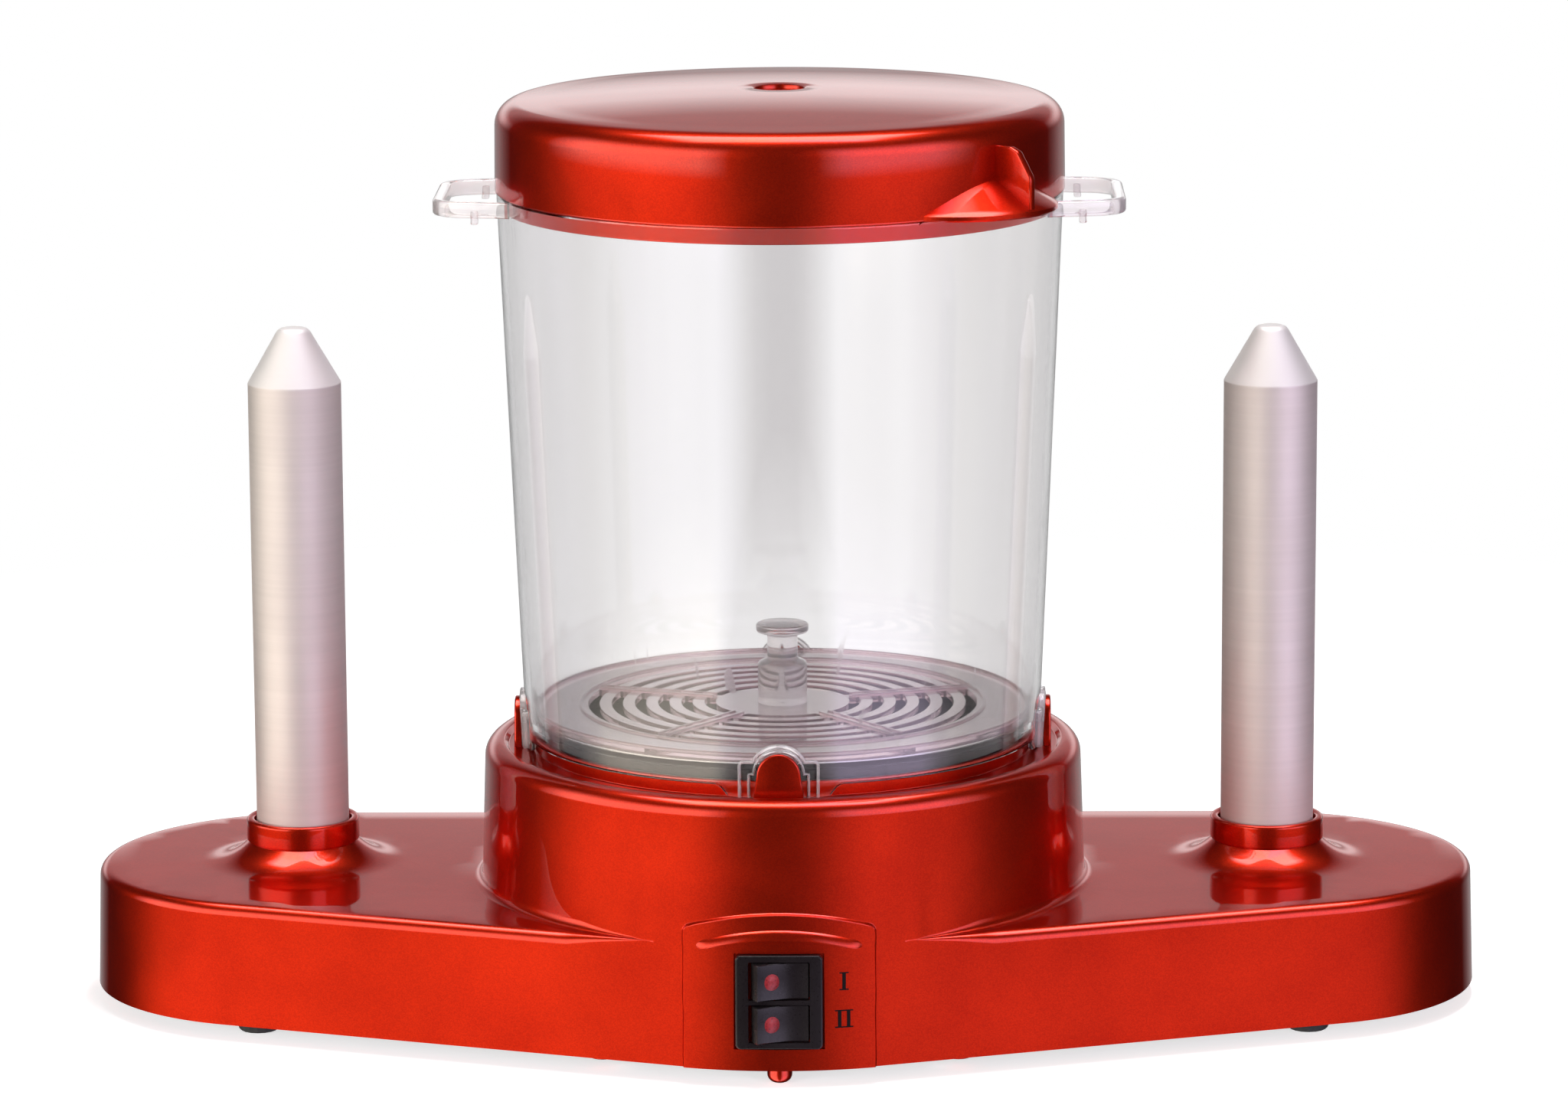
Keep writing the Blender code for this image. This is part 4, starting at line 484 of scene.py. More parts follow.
class Effects:
    """The shader groups that several finishes place."""

    def __init__(self) -> None:
        """Builds each group once."""
        self.grain = grain_group()
        self.handling = handling_group()
        self.flake = flake_group()


def start_material(name: str) -> tuple[bpy.types.Material, Sheet, bpy.types.Node, bpy.types.NodeSocket]:
    """A new material with its shader and the piece's own coordinates.

    Args:
        name: The material's name.

    Returns:
        The material, a sheet for its nodes, its Principled shader and the Object coordinates.
    """
    material = bpy.data.materials.new(name)
    material.use_nodes = True
    sheet = Sheet(material.node_tree)
    shader = material.node_tree.nodes["Principled BSDF"]
    place = sheet.add("ShaderNodeTexCoord").outputs["Object"]
    return material, sheet, shader, place


def set_values(shader: bpy.types.Node, **values: object) -> None:
    """Sets constant values on a shader's own sockets, named with underscores for spaces."""
    for key, value in values.items():
        socket = shader.inputs[key.replace("_", " ")]
        socket.default_value = (*value, 1.0) if socket.type == "RGBA" else value


@dataclass(frozen=True)
class CandyRed:
    """Red lacquer over metal flakes under a clear coat."""

    deep: Colour = (0.42, 0.012, 0.005)
    bright: Colour = (0.70, 0.030, 0.007)
    metallic: float = 0.90
    roughness: float = 0.31
    flake_scale: float = 3200.0

    def build(self, effects: Effects) -> bpy.types.Material:
        """Makes the material: flake brightness varies the red, and smudges vary the gloss below."""
        material, sheet, shader, place = start_material("candy_red")
        flake = sheet.add("ShaderNodeGroup", node_tree=effects.flake)
        sheet.tree.links.new(place, flake.inputs["Vector"])
        flake.inputs["Scale"].default_value = self.flake_scale
        handled = sheet.add("ShaderNodeGroup", node_tree=effects.handling)
        sheet.tree.links.new(place, handled.inputs["Vector"])
        share = sheet.math("MULTIPLY_ADD", flake.outputs["Sparkle"], 0.45)
        sheet.tree.links.new(sheet.span(flake.outputs["Cloud"], 0.3, 0.7, 0.2, 0.5), share.node.inputs[2])
        sheet.tree.links.new(sheet.mix(share, self.deep, self.bright), shader.inputs["Base Color"])
        rough = sheet.span(handled.outputs["Smudge"], 0, 1, self.roughness, self.roughness + 0.05)
        sheet.tree.links.new(rough, shader.inputs["Roughness"])
        bump = sheet.add("ShaderNodeBump", {"Height": flake.outputs["Sparkle"], "Strength": 0.05,
                                            "Distance": 0.00002})
        sheet.tree.links.new(bump.outputs["Normal"], shader.inputs["Normal"])
        set_values(shader, Metallic=self.metallic, Coat_Weight=1.0, Coat_Roughness=0.03, Coat_IOR=1.36,
                   Specular_Tint=(0.9, 0.25, 0.2))
        return material


@dataclass(frozen=True)
class ClearPlastic:
    """Clear moulded plastic with a faint warm tint, and shade painted into its colour in a middle strip and at the
    sides.
    """

    name: str
    colour: Colour
    # The colour of the painted shade, darkest in the middle strip.
    deep: Colour
    clearness: float = 1.0
    roughness: float = 0.02
    ripple: float = 0.02

    def build(self, effects: Effects) -> bpy.types.Material:
        """Makes the material: upright streaks vary the tint, hair-fine scratches raise the roughness.

        Painted shade: the colour is darkest in a strip at the middle plane above a height and about half as
        dark at the sides, shade painted in where the clear wall looks darker. A slow ripple bends the view.
        """
        material, sheet, shader, place = start_material(self.name)
        upright = sheet.add("ShaderNodeMapping", {"Vector": place, "Scale": (70.0, 70.0, 0.8)})
        streak = sheet.add("ShaderNodeTexNoise", {"Vector": upright.outputs["Vector"], "Scale": 1.0, "Detail": 2.0})
        parts = sheet.add("ShaderNodeSeparateXYZ", {0: place})
        # Painted shade: the share falls to zero in a strip at the middle plane above a height and about halfway at the
        # sides, turning the colour towards the deep colour there.
        across = sheet.math("ABSOLUTE", parts.outputs["X"])
        open_ = sheet.math("MAXIMUM", sheet.span(across, 0.005, 0.017), sheet.span(parts.outputs["Z"], 0.115, 0.165, 1.0, 0.0))
        strip = sheet.math("SUBTRACT", open_, sheet.span(across, 0.036, 0.062, 0.0, 0.55))
        share = sheet.math("SUBTRACT", strip, sheet.span(streak.outputs["Fac"], 0.3, 0.7, 0.0, 0.12))
        share.node.use_clamp = True
        sheet.tree.links.new(sheet.mix(share, self.deep, self.colour), shader.inputs["Base Color"])
        handled = sheet.add("ShaderNodeGroup", node_tree=effects.handling)
        sheet.tree.links.new(place, handled.inputs["Vector"])
        marks = sheet.math("MULTIPLY", handled.outputs["Scratch"], 0.12)
        rough = sheet.math("ADD", marks, sheet.span(handled.outputs["Smudge"], 0, 1, self.roughness,
                                                    self.roughness + 0.03))
        sheet.tree.links.new(rough, shader.inputs["Roughness"])
        slow = sheet.add("ShaderNodeTexNoise", {"Vector": place, "Scale": 30.0, "Detail": 1.0})
        bump = sheet.add("ShaderNodeBump", {"Height": slow.outputs["Fac"], "Strength": self.ripple,
                                            "Distance": 0.002})
        sheet.tree.links.new(bump.outputs["Normal"], shader.inputs["Normal"])
        set_values(shader, Transmission_Weight=self.clearness, IOR=1.49, Metallic=0.0)
        return material


@dataclass(frozen=True)
class TurnedMetal:
    """Metal with fine turned rings along Z and faint smudges, painted lighter above a height if one is given, as
    painted light where the part catches the lamps.
    """

    name: str
    colour: Colour
    roughness: float
    ring_scale: float = 900.0
    ring_strength: float = 0.06
    metallic: float = 1.0
    # Above this height the colour is painted lighter: painted light, not a different metal.
    painted_light_z: float = 9.0
    painted_light_colour: Colour = (0.80, 0.765, 0.755)

    def build(self, effects: Effects) -> bpy.types.Material:
        """Makes the material: noise squeezed along Z gives rings, smudges vary the gloss, and above the given height
        the colour is painted lighter as painted light.
        """
        material, sheet, shader, place = start_material(self.name)
        squeezed = sheet.add("ShaderNodeMapping", {"Vector": place, "Scale": (2.0, 2.0, self.ring_scale)})
        rings = sheet.add("ShaderNodeTexNoise", {"Vector": squeezed.outputs["Vector"], "Scale": 1.0,
                                                 "Detail": 4.0})
        handled = sheet.add("ShaderNodeGroup", node_tree=effects.handling)
        sheet.tree.links.new(place, handled.inputs["Vector"])
        dark = tuple(value * 0.95 for value in self.colour)
        colour = sheet.mix(sheet.span(rings.outputs["Fac"], 0.3, 0.7), dark, self.colour)
        separate = sheet.add("ShaderNodeSeparateXYZ", {0: place})
        # Painted light: the colour turns lighter above the given height, standing in for the light that the spike's
        # cone catches.
        bright = sheet.span(separate.outputs["Z"], self.painted_light_z - 0.0005, self.painted_light_z + 0.0003)
        sheet.tree.links.new(sheet.mix(bright, colour, self.painted_light_colour), shader.inputs["Base Color"])
        rough = sheet.span(handled.outputs["Smudge"], 0, 1, self.roughness, self.roughness + 0.08)
        sheet.tree.links.new(rough, shader.inputs["Roughness"])
        bump = sheet.add("ShaderNodeBump", {"Height": rings.outputs["Fac"],
                                            "Strength": self.ring_strength, "Distance": 0.0001})
        sheet.tree.links.new(bump.outputs["Normal"], shader.inputs["Normal"])
        set_values(shader, Metallic=self.metallic)
        return material


@dataclass(frozen=True)
class MouldedPlastic:
    """Grained moulded plastic, rubber or ceramic."""

    name: str
    colour: Colour
    roughness: float
    grain_scale: float = 1400.0
    grain_strength: float = 0.12
    shine: float = 0.5

    def build(self, effects: Effects) -> bpy.types.Material:
        """Makes the material: grain raises the surface and varies its gloss, and smudges vary its colour."""
        material, sheet, shader, place = start_material(self.name)
        grain = sheet.add("ShaderNodeGroup", node_tree=effects.grain)
        sheet.tree.links.new(place, grain.inputs["Vector"])
        grain.inputs["Scale"].default_value = self.grain_scale
        handled = sheet.add("ShaderNodeGroup", node_tree=effects.handling)
        sheet.tree.links.new(place, handled.inputs["Vector"])
        worn = tuple(min(1.0, value * 1.25 + 0.004) for value in self.colour)
        sheet.tree.links.new(sheet.mix(handled.outputs["Smudge"], self.colour, worn),
                             shader.inputs["Base Color"])
        rough = sheet.span(grain.outputs["Mask"], 0.3, 0.7, self.roughness - 0.04, self.roughness + 0.06)
        sheet.tree.links.new(rough, shader.inputs["Roughness"])
        bump = sheet.add("ShaderNodeBump", {"Height": grain.outputs["Height"],
                                            "Strength": self.grain_strength, "Distance": 0.0001})
        sheet.tree.links.new(bump.outputs["Normal"], shader.inputs["Normal"])
        set_values(shader, Metallic=0.0, Specular_IOR_Level=self.shine)
        return material


@dataclass(frozen=True)
class LampLens:
    """A dark red translucent lens."""

    colour: Colour = (0.26, 0.022, 0.028)

    def build(self, effects: Effects) -> bpy.types.Material:
        """Makes the material: a fine diamond pattern under a polished face."""
        material, sheet, shader, place = start_material("lamp_lens")
        cells = sheet.add("ShaderNodeTexVoronoi", {"Vector": place, "Scale": 1500.0})
        dark = tuple(value * 0.5 for value in self.colour)
        sheet.tree.links.new(sheet.mix(sheet.span(cells.outputs["Distance"], 0.1, 0.6), dark, self.colour),
                             shader.inputs["Base Color"])
        handled = sheet.add("ShaderNodeGroup", node_tree=effects.handling)
        sheet.tree.links.new(place, handled.inputs["Vector"])
        sheet.tree.links.new(sheet.span(handled.outputs["Smudge"], 0, 1, 0.34, 0.42),
                             shader.inputs["Roughness"])
        set_values(shader, Metallic=0.0, IOR=1.5, Specular_IOR_Level=0.4)
        return material


class Palette:
    """Every finish, built once."""

    def __init__(self, effects: Effects) -> None:
        """Builds the materials."""
        self.red = CandyRed().build(effects)
        # Each clear finish's second colour is its painted shade; the wall's is the darkest.
        self.clear = ClearPlastic("clear_plastic", (0.985, 0.95, 0.955), (0.96, 0.92, 0.93), 0.80).build(effects)
        self.wall = ClearPlastic("clear_wall", (0.985, 0.980, 0.982), (0.80, 0.785, 0.79)).build(effects)
        self.tray = ClearPlastic("clear_tray", (0.95, 0.77, 0.80), (0.89, 0.72, 0.76), 0.76).build(effects)
        # The spike's finish paints light on its cone: above 0.1888, the cone's foot, its colour turns lighter.
        self.spike = TurnedMetal("satin_aluminium", (0.71, 0.645, 0.620), 0.55, 700.0, 0.025, 0.58,
                                 0.1888).build(effects)
        self.pan = TurnedMetal("pan_coating", (0.060, 0.051, 0.053), 0.42, 400.0, 0.03, 0.8).build(effects)
        self.steel = TurnedMetal("plain_steel", (0.56, 0.56, 0.57), 0.34, 500.0).build(effects)
        self.brass = TurnedMetal("brass", (0.72, 0.52, 0.22), 0.32, 500.0).build(effects)
        self.black = MouldedPlastic("black_plastic", (0.008, 0.006, 0.007), 0.30, shine=0.35).build(effects)
        self.rubber = MouldedPlastic("black_rubber", (0.018, 0.018, 0.018), 0.70, 800.0, 0.25).build(effects)
        self.silicone = MouldedPlastic("silicone", (0.58, 0.55, 0.52), 0.55, 600.0).build(effects)
        self.ceramic = MouldedPlastic("ceramic", (0.78, 0.74, 0.67), 0.62, 1100.0, 0.2).build(effects)
        self.ink = MouldedPlastic("black_ink", (0.004, 0.002, 0.002), 0.55, 2400.0, 0.05, 0.1).build(effects)
        self.lens = LampLens().build(effects)


# Sub-assemblies

@dataclass
class Housing:
    """The red moulded base: a drum and two wings that share one smooth front."""

    palette: Palette
    base_width: float = 0.420
    end_radius: float = 0.063
    setback: float = 0.0185
    edge_z: float = 0.005
    wing_top: float = 0.0415
    wing_draft: float = math.tan(math.radians(1.6))
    edge_round: float = 0.0032
    root_round: float = 0.0026
    rim_top: float = 0.084
    rim_radius: float = 0.0895
    foot_radius: float = 0.0923
    rim_round: float = 0.0048
    rim_land: float = 0.0010
    ledge_z: float = 0.082
    plinth_top: float = 0.087
    plinth_outer: float = 0.0746
    plinth_inner: float = 0.0724
    shelf_z: float = 0.081
    wall: float = 0.0026
    panel_half: float = 0.0278
    panel_corner_z: float = 0.0468
    panel_crown: float = 0.0044
    panel_round: float = 0.0016
    panel_rise: float = 0.0010
    panel_slope: float = 0.0007
    bezel_half_x: float = 0.0129
    bezel_z: float = 0.0255
    bezel_half_z: float = 0.0142
    seat_y: float = -0.0908
    collar_radius: float = 0.01715
    collar_bore: float = 0.01465
    collar_neck: float = 0.0005
    flare_height: float = 0.0062
    flare_reach: float = 0.0145
    flare_power: float = 2.4
    collar_height: float = 0.0070
    rear_y: float = field(init=False)
    wing_x: float = field(init=False)
    slope: float = field(init=False)
    joint: float = field(init=False)
    joint_angle: float = field(init=False)
    blend_low: float = 0.0003
    blend_high: float = 0.0014
    blend_height: float = 0.034

    def __post_init__(self) -> None:
        """Works out the sizes that follow from the others."""
        self.wing_x = self.base_width / 2 - self.end_radius
        self.rear_y = self.setback + self.end_radius
        self.slope = (self.foot_radius - self.rim_radius) / (self.rim_top - self.edge_z)
        radius = self.drum_radius(self.wing_top)
        away = math.sqrt((radius + self.blend_low) ** 2 - radius ** 2)
        start, end = self.front_line(self.wing_top)
        self.joint = away / float(np.hypot(*(end - start)))
        self.joint_angle = self.tangent_angle(self.wing_top) + math.atan2(away, radius)

    def drum_radius(self, z: np.ndarray | float) -> np.ndarray | float:
        """Radius of the drum's drafted side: the foot's less the slope times the height."""
        return self.foot_radius - (z - self.edge_z) * self.slope

    def tangent_angle(self, z: float) -> float:
        """Angle of the front normal shared by the drum's circle and the wing end's circle at a height.

        For two circles it is the angle of their centre line less the arc cosine of the difference of
        radii over the distance.
        """
        big = self.drum_radius(z)
        small = self.end_radius - (z - self.edge_z) * self.wing_draft
        distance = math.hypot(self.wing_x, self.setback)
        return math.atan2(self.setback, self.wing_x) - math.acos((big - small) / distance)

    def front_line(self, z: float) -> tuple[np.ndarray, np.ndarray]:
        """The right wing's straight front at a height: where it touches the drum and the wing's end."""
        normal = self.tangent_angle(z)
        big = self.drum_radius(z)
        small = self.end_radius - (z - self.edge_z) * self.wing_draft
        way = np.array([math.cos(normal), math.sin(normal)])
        return big * way, np.array([self.wing_x, self.setback]) + small * way

    def wing_path(self, z: float, draw: np.ndarray | float = 0.0) -> tuple[np.ndarray, np.ndarray]:
        """The right wing's outline at a height from its joint with the drum's front to the rear crossing.

        A straight front, an arc round the wing's end and a straight back, sampled at fixed shares so
        that the outlines of all heights match point by point.

        Args:
            z: The height.
            draw: Extra inset of each point along its normal.

        Returns:
            The points and their outward normals, each of shape (n, 2).
        """
        normal = self.tangent_angle(z)
        big = self.drum_radius(z)
        small = self.end_radius - (z - self.edge_z) * self.wing_draft
        start, end = self.front_line(z)
        share = np.concatenate([np.linspace(0, 1, 40) ** 1.6 * 0.5, np.linspace(0.5, 1, 12)[1:]])[:, None]
        share = self.joint + (1 - self.joint) * share
        front = start * (1 - share) + end * share
        angles = np.linspace(normal, math.pi / 2, 72)[1:]
        tip = np.stack([self.wing_x + small * np.cos(angles), self.setback + small * np.sin(angles)], axis=-1)
        back_y = self.setback + small
        crossing = math.sqrt(big * big - back_y * back_y)
        back_share = np.linspace(0, 1, 30)[1:, None]
        back = tip[-1] * (1 - back_share) + np.array([crossing, back_y]) * back_share
        points = np.concatenate([front, tip, back])
        front_normal = np.array([math.cos(normal), math.sin(normal)])
        tip_normals = np.stack([np.cos(angles), np.sin(angles)], axis=-1)
        normals = np.concatenate([np.broadcast_to(front_normal, front.shape), tip_normals,
                                  np.broadcast_to([0.0, 1.0], back.shape)])
        return points - normals * np.asarray(draw).reshape(-1, 1), normals

    def net_width(self, width: np.ndarray) -> np.ndarray:
        """The wing top's width that stays flat: narrow strips are taken into the drum by a smooth step."""
        return width * smooth_step(width, self.blend_low, self.blend_high)

    def shares(self, points: np.ndarray) -> np.ndarray:
        """How much of the full edge roundings fits between the drum and the outline at each point.

        The width is the point's distance from the drum's circle less the blend, and the share is that
        width over the sum of both roundings, at most one.
        """
        width = np.hypot(points[:, 0], points[:, 1]) - self.drum_radius(self.wing_top)
        return np.clip(self.net_width(width) / ((self.edge_round + self.root_round) * 1.15), 0, 1)

    def widths(self, angles: np.ndarray) -> np.ndarray:
        """The distance from the drum's circle to the wings' outline at angles round the drum.

        Up to the joint it is the distance to a tangent line: the radius over a cosine less the radius.
        """
        outline, _ = self.wing_path(self.wing_top)
        polar = np.arctan2(outline[:, 1], outline[:, 0])
        radius = np.hypot(outline[:, 0], outline[:, 1])
        order = np.argsort(polar)
        folded = np.where(np.cos(angles) < 0, math.pi - angles, angles)
        folded = (folded + math.pi) % FULL_TURN - math.pi
        big = self.drum_radius(self.wing_top)
        reach = np.interp(folded, polar[order], radius[order], left=0, right=0)
        turn = np.clip(folded - self.tangent_angle(self.wing_top), 0, 1)
        reach = np.where(folded <= self.joint_angle + 1e-7, big / np.cos(turn), reach)
        return np.maximum(reach - big, 0)

    def root_share(self, angles: np.ndarray) -> np.ndarray:
        """The drum fillet's share at angles round the drum, from the width of the wing top there."""
        width = self.net_width(self.widths(angles))
        return np.clip(width / ((self.edge_round + self.root_round) * 1.15), 0, 1)

    def bulge(self, angles: np.ndarray) -> np.ndarray:
        """How far the drum's side swells at the wing's level to meet a narrow strip's outer edge."""
        width = self.widths(angles)
        return width - self.net_width(width)

    def columns(self) -> np.ndarray:
        """Angles of the drum's columns: fine across the switch panel, plain elsewhere.

        Columns fall on the tangent points, on the rear crossings and on the switch opening's edges.
        """
        radius = self.drum_radius(self.wing_top)
        edge = self.panel_half
        x = np.concatenate([np.linspace(0, self.bezel_half_x, 9), np.linspace(self.bezel_half_x, edge - 0.001, 12),
                            np.linspace(edge - 0.001, edge + 0.0008, 10)])
        x = np.unique(np.round(x, 7))
        half = np.arcsin(x / radius)
        tangent = self.tangent_angle(self.wing_top) - FRONT
        rear_y = self.setback + self.end_radius - (self.wing_top - self.edge_z) * self.wing_draft
        crossing = math.asin(rear_y / radius) - FRONT
        joint = self.joint_angle - FRONT
        side = np.concatenate([half, np.linspace(max(tangent, half[-1] + 0.001), joint, 12),
                               np.linspace(joint, math.radians(60), 28)[1:],
                               np.linspace(math.radians(60), crossing, 60)[1:],
                               np.linspace(crossing, math.pi, REAR_STEPS + 1)[1:]])
        side = np.unique(np.round(side, 7))
        return FRONT + np.concatenate([side, FULL_TURN - side[1:-1][::-1]])

    def relief(self, x: np.ndarray, z: np.ndarray) -> np.ndarray:
        """How far the switch panel stands out at a place on the front.

        The panel is a box with an arched top. Its signed distance is that of a box with rounded
        corners, and the rise climbs with a smooth step over the distance inside the edge.
        """
        sag = self.panel_half ** 2 / (2 * self.panel_crown) + self.panel_crown / 2
        top = self.panel_corner_z + self.panel_crown - sag + np.sqrt(np.maximum(sag ** 2 - x ** 2, 0))
        across = np.abs(x) - (self.panel_half - self.panel_round)
        up = z - (top - self.panel_round)
        outside = np.hypot(np.maximum(across, 0), np.maximum(up, 0)) + np.minimum(np.maximum(across, up), 0)
        return self.panel_rise * smooth_step(self.panel_round - outside, -self.panel_slope / 2,
                                             self.panel_slope / 2)

    def side_points(self, angles: np.ndarray, z: np.ndarray) -> np.ndarray:
        """Points of the drum's side: the drafted radius plus the panel's relief on the front.

        Args:
            angles: The columns' angles.
            z: Heights of shape (rows, columns).

        Returns:
            A grid of shape (rows, columns, 3).
        """
        radius = self.drum_radius(z)
        x = radius * np.cos(angles)
        front = np.sin(angles) < 0
        fade = 1 - smooth_step(z, self.wing_top, self.wing_top + self.blend_height)
        radius = radius + np.where(front, self.relief(x, z) + self.bulge(angles) * fade, 0)
        return np.stack([radius * np.cos(angles), radius * np.sin(angles), z], axis=-1)

    def add_drum(self, surface: Surface) -> None:
        """The drum from the wing's level over the rim to the inner shelf."""
        angles = self.columns()
        low = self.wing_top + self.root_round * self.root_share(angles)
        high = self.rim_top - self.rim_round - 0.0004
        x = np.clip(self.drum_radius(self.wing_top) * np.cos(angles), -self.panel_half, self.panel_half)
        sag = self.panel_half ** 2 / (2 * self.panel_crown) + self.panel_crown / 2
        crown = self.panel_corner_z + self.panel_crown - sag + np.sqrt(sag ** 2 - x ** 2)
        stops = np.array([low, crown - 0.0011, crown + 0.0009, np.full_like(low, high)])
        steps = np.concatenate([np.linspace(0, 1, 7), np.linspace(1, 2, 15)[1:], np.linspace(2, 3, 22)[1:]])
        whole = np.minimum(steps.astype(int), 2)
        part = (steps - whole)[:, None]
        z = stops[whole] * (1 - part) + stops[whole + 1] * part
        side = self.side_points(angles, z)
        rim = (float(self.drum_radius(high)), high)
        corner = (float(self.drum_radius(self.rim_top)), self.rim_top)
        land = corner[0] - self.rim_round - self.rim_land
        profile = fillet([rim, corner, (land, self.rim_top), (land - 0.0012, self.ledge_z),
                          (self.plinth_outer, self.ledge_z), (self.plinth_outer, self.plinth_top),
                          (self.plinth_inner, self.plinth_top), (self.plinth_inner, self.shelf_z),
                          (self.plinth_inner - 0.008, self.shelf_z)],
                         [0, self.rim_round, 0.0006, 0.0005, 0.0004, 0.0007, 0.0006, 0.0003, 0], 8)
        radius, height = profile[:, 0][:, None], profile[:, 1][:, None]
        top = np.stack([radius * np.cos(angles), radius * np.sin(angles),
                        np.broadcast_to(height, (len(profile), len(angles)))], axis=-1)
        surface.add_grid(np.concatenate([side, top[1:]]), wrap_columns=True)

    def levels(self) -> np.ndarray:
        """Heights of the rows below the wing tops: fine beside the switch opening."""
        low, high = self.bezel_z - self.bezel_half_z, self.bezel_z + self.bezel_half_z
        return np.concatenate([np.linspace(self.edge_z, low, 5), np.linspace(low, high, 17)[1:],
                               np.linspace(high, self.wing_top, 5)[1:]])

    def add_front(self, surface: Surface) -> tuple[np.ndarray, np.ndarray]:
        """The front of the base below the wings' level, with the switch opening.

        Args:
            surface: The surface that takes the faces.

        Returns:
            The loop round the opening, and the row along the lower edge from joint to joint.
        """
        angles = self.columns()
        order = np.argsort((angles - FRONT + math.pi) % FULL_TURN)
        turned = (angles[order] - FRONT + math.pi) % FULL_TURN - math.pi
        tangent = self.tangent_angle(self.wing_top) - FRONT
        chosen = turned[np.abs(turned) <= self.joint_angle - FRONT + 1e-5]
        rows = self.levels()
        spread = np.interp(rows, [self.edge_z, self.wing_top],
                           [(self.tangent_angle(self.edge_z) - FRONT) / tangent, 1.0])
        share = smooth_step(np.abs(chosen), self.panel_half / self.foot_radius + 0.004, tangent)
        angle_grid = chosen[None] * (1 + (spread[:, None] - 1) * share[None])
        z = np.broadcast_to(rows[:, None], angle_grid.shape)
        grid = self.side_points(FRONT + angle_grid, z)
        outside = np.abs(chosen) > tangent
        bottom, top = self.front_line(self.edge_z), self.front_line(self.wing_top)
        along = self.drum_radius(self.wing_top) * np.tan(np.abs(chosen[outside]) - tangent)[:, None]
        along = along / np.hypot(*(top[1] - top[0]))
        step = ((rows - self.edge_z) / (self.wing_top - self.edge_z))[:, None, None]
        flat = (bottom[0] + (bottom[1] - bottom[0]) * along) * (1 - step)
        flat = flat + (top[0] + (top[1] - top[0]) * along) * step
        grid[:, outside, :2] = flat * np.stack([np.sign(chosen[outside]), np.ones(outside.sum())], axis=-1)
        across = self.drum_radius(self.wing_top) * np.sin(chosen)
        wide = np.flatnonzero(np.abs(across) < self.bezel_half_x + 1e-6)[[0, -1]]
        tall = np.flatnonzero(np.abs(rows - self.bezel_z) < self.bezel_half_z + 1e-6)[[0, -1]]
        keep = np.ones((grid.shape[0] - 1, grid.shape[1] - 1), dtype=bool)
        keep[tall[0]:tall[1], wide[0]:wide[1]] = False
        surface.add_grid(grid, keep=keep)
        opening = np.concatenate([grid[tall[0], wide[0]:wide[1]], grid[tall[0]:tall[1], wide[1]],
                                  grid[tall[1], wide[1]:wide[0]:-1], grid[tall[1]:tall[0]:-1, wide[0]]])
        return opening, grid[0]

    def rear_rows(self) -> tuple[np.ndarray, np.ndarray]:
        """The lowest and highest row of the drum's rear between the wings' crossings."""
        rows = []
        for z in (self.edge_z, self.wing_top):
            back_y = self.setback + self.end_radius - (z - self.edge_z) * self.wing_draft
            crossing = math.asin(back_y / self.drum_radius(z))
            flat = arc((0, 0), self.drum_radius(z), crossing, math.pi - crossing, 2 * REAR_STEPS)
            rows.append(np.column_stack([flat, np.full(len(flat), z)]))
        return rows[0], rows[1]

    def add_rear(self, surface: Surface) -> None:
        """The rear of the drum's side between the wings: straight lines between two arcs."""
        low, high = self.rear_rows()
        step = ((self.levels() - self.edge_z) / (self.wing_top - self.edge_z))[:, None, None]
        surface.add_grid(low * (1 - step) + high * step)

    def add_recess(self, surface: Surface, opening: np.ndarray) -> None:
        """The flat seat behind the switch's bezel and the walls from it to the panel's face.

        Args:
            surface: The surface that takes the faces.
            opening: The loop round the opening in the panel's face.
        """
        back = opening.copy()
        back[:, 1] = self.seat_y
        surface.add_grid(np.stack([opening, back]), wrap_columns=True)
        surface.add_cap(back)

    def add_wings(self, surface: Surface) -> None:
        """Both wings' sides with their rounded top edges, and the underside of the base's edge."""
        turn = np.linspace(0, math.pi / 2, 7)
        full, _ = self.wing_path(self.wing_top)
        share = self.shares(full)
        round_ = self.edge_round * share
        rows = []
        bottom, _ = self.wing_path(self.edge_z)
        points, _ = self.wing_path(self.wing_top)
        top_z = self.wing_top - round_
        for step in (self.levels() - self.edge_z) / (self.wing_top - self.edge_z):
            mixed = bottom * (1 - step) + points * step
            z = self.edge_z * (1 - step) + top_z * step
            rows.append(np.column_stack([mixed, z]))
        for angle in turn[1:]:
            points, _ = self.wing_path(self.wing_top, round_ * (1 - math.cos(angle)))
            z = self.wing_top - round_ * (1 - math.sin(angle))
            rows.append(np.column_stack([points, z]))
        grid = np.array(rows)
        for side in Side:
            mirror = np.array([side.value, 1, 1])
            surface.add_grid(grid * mirror)

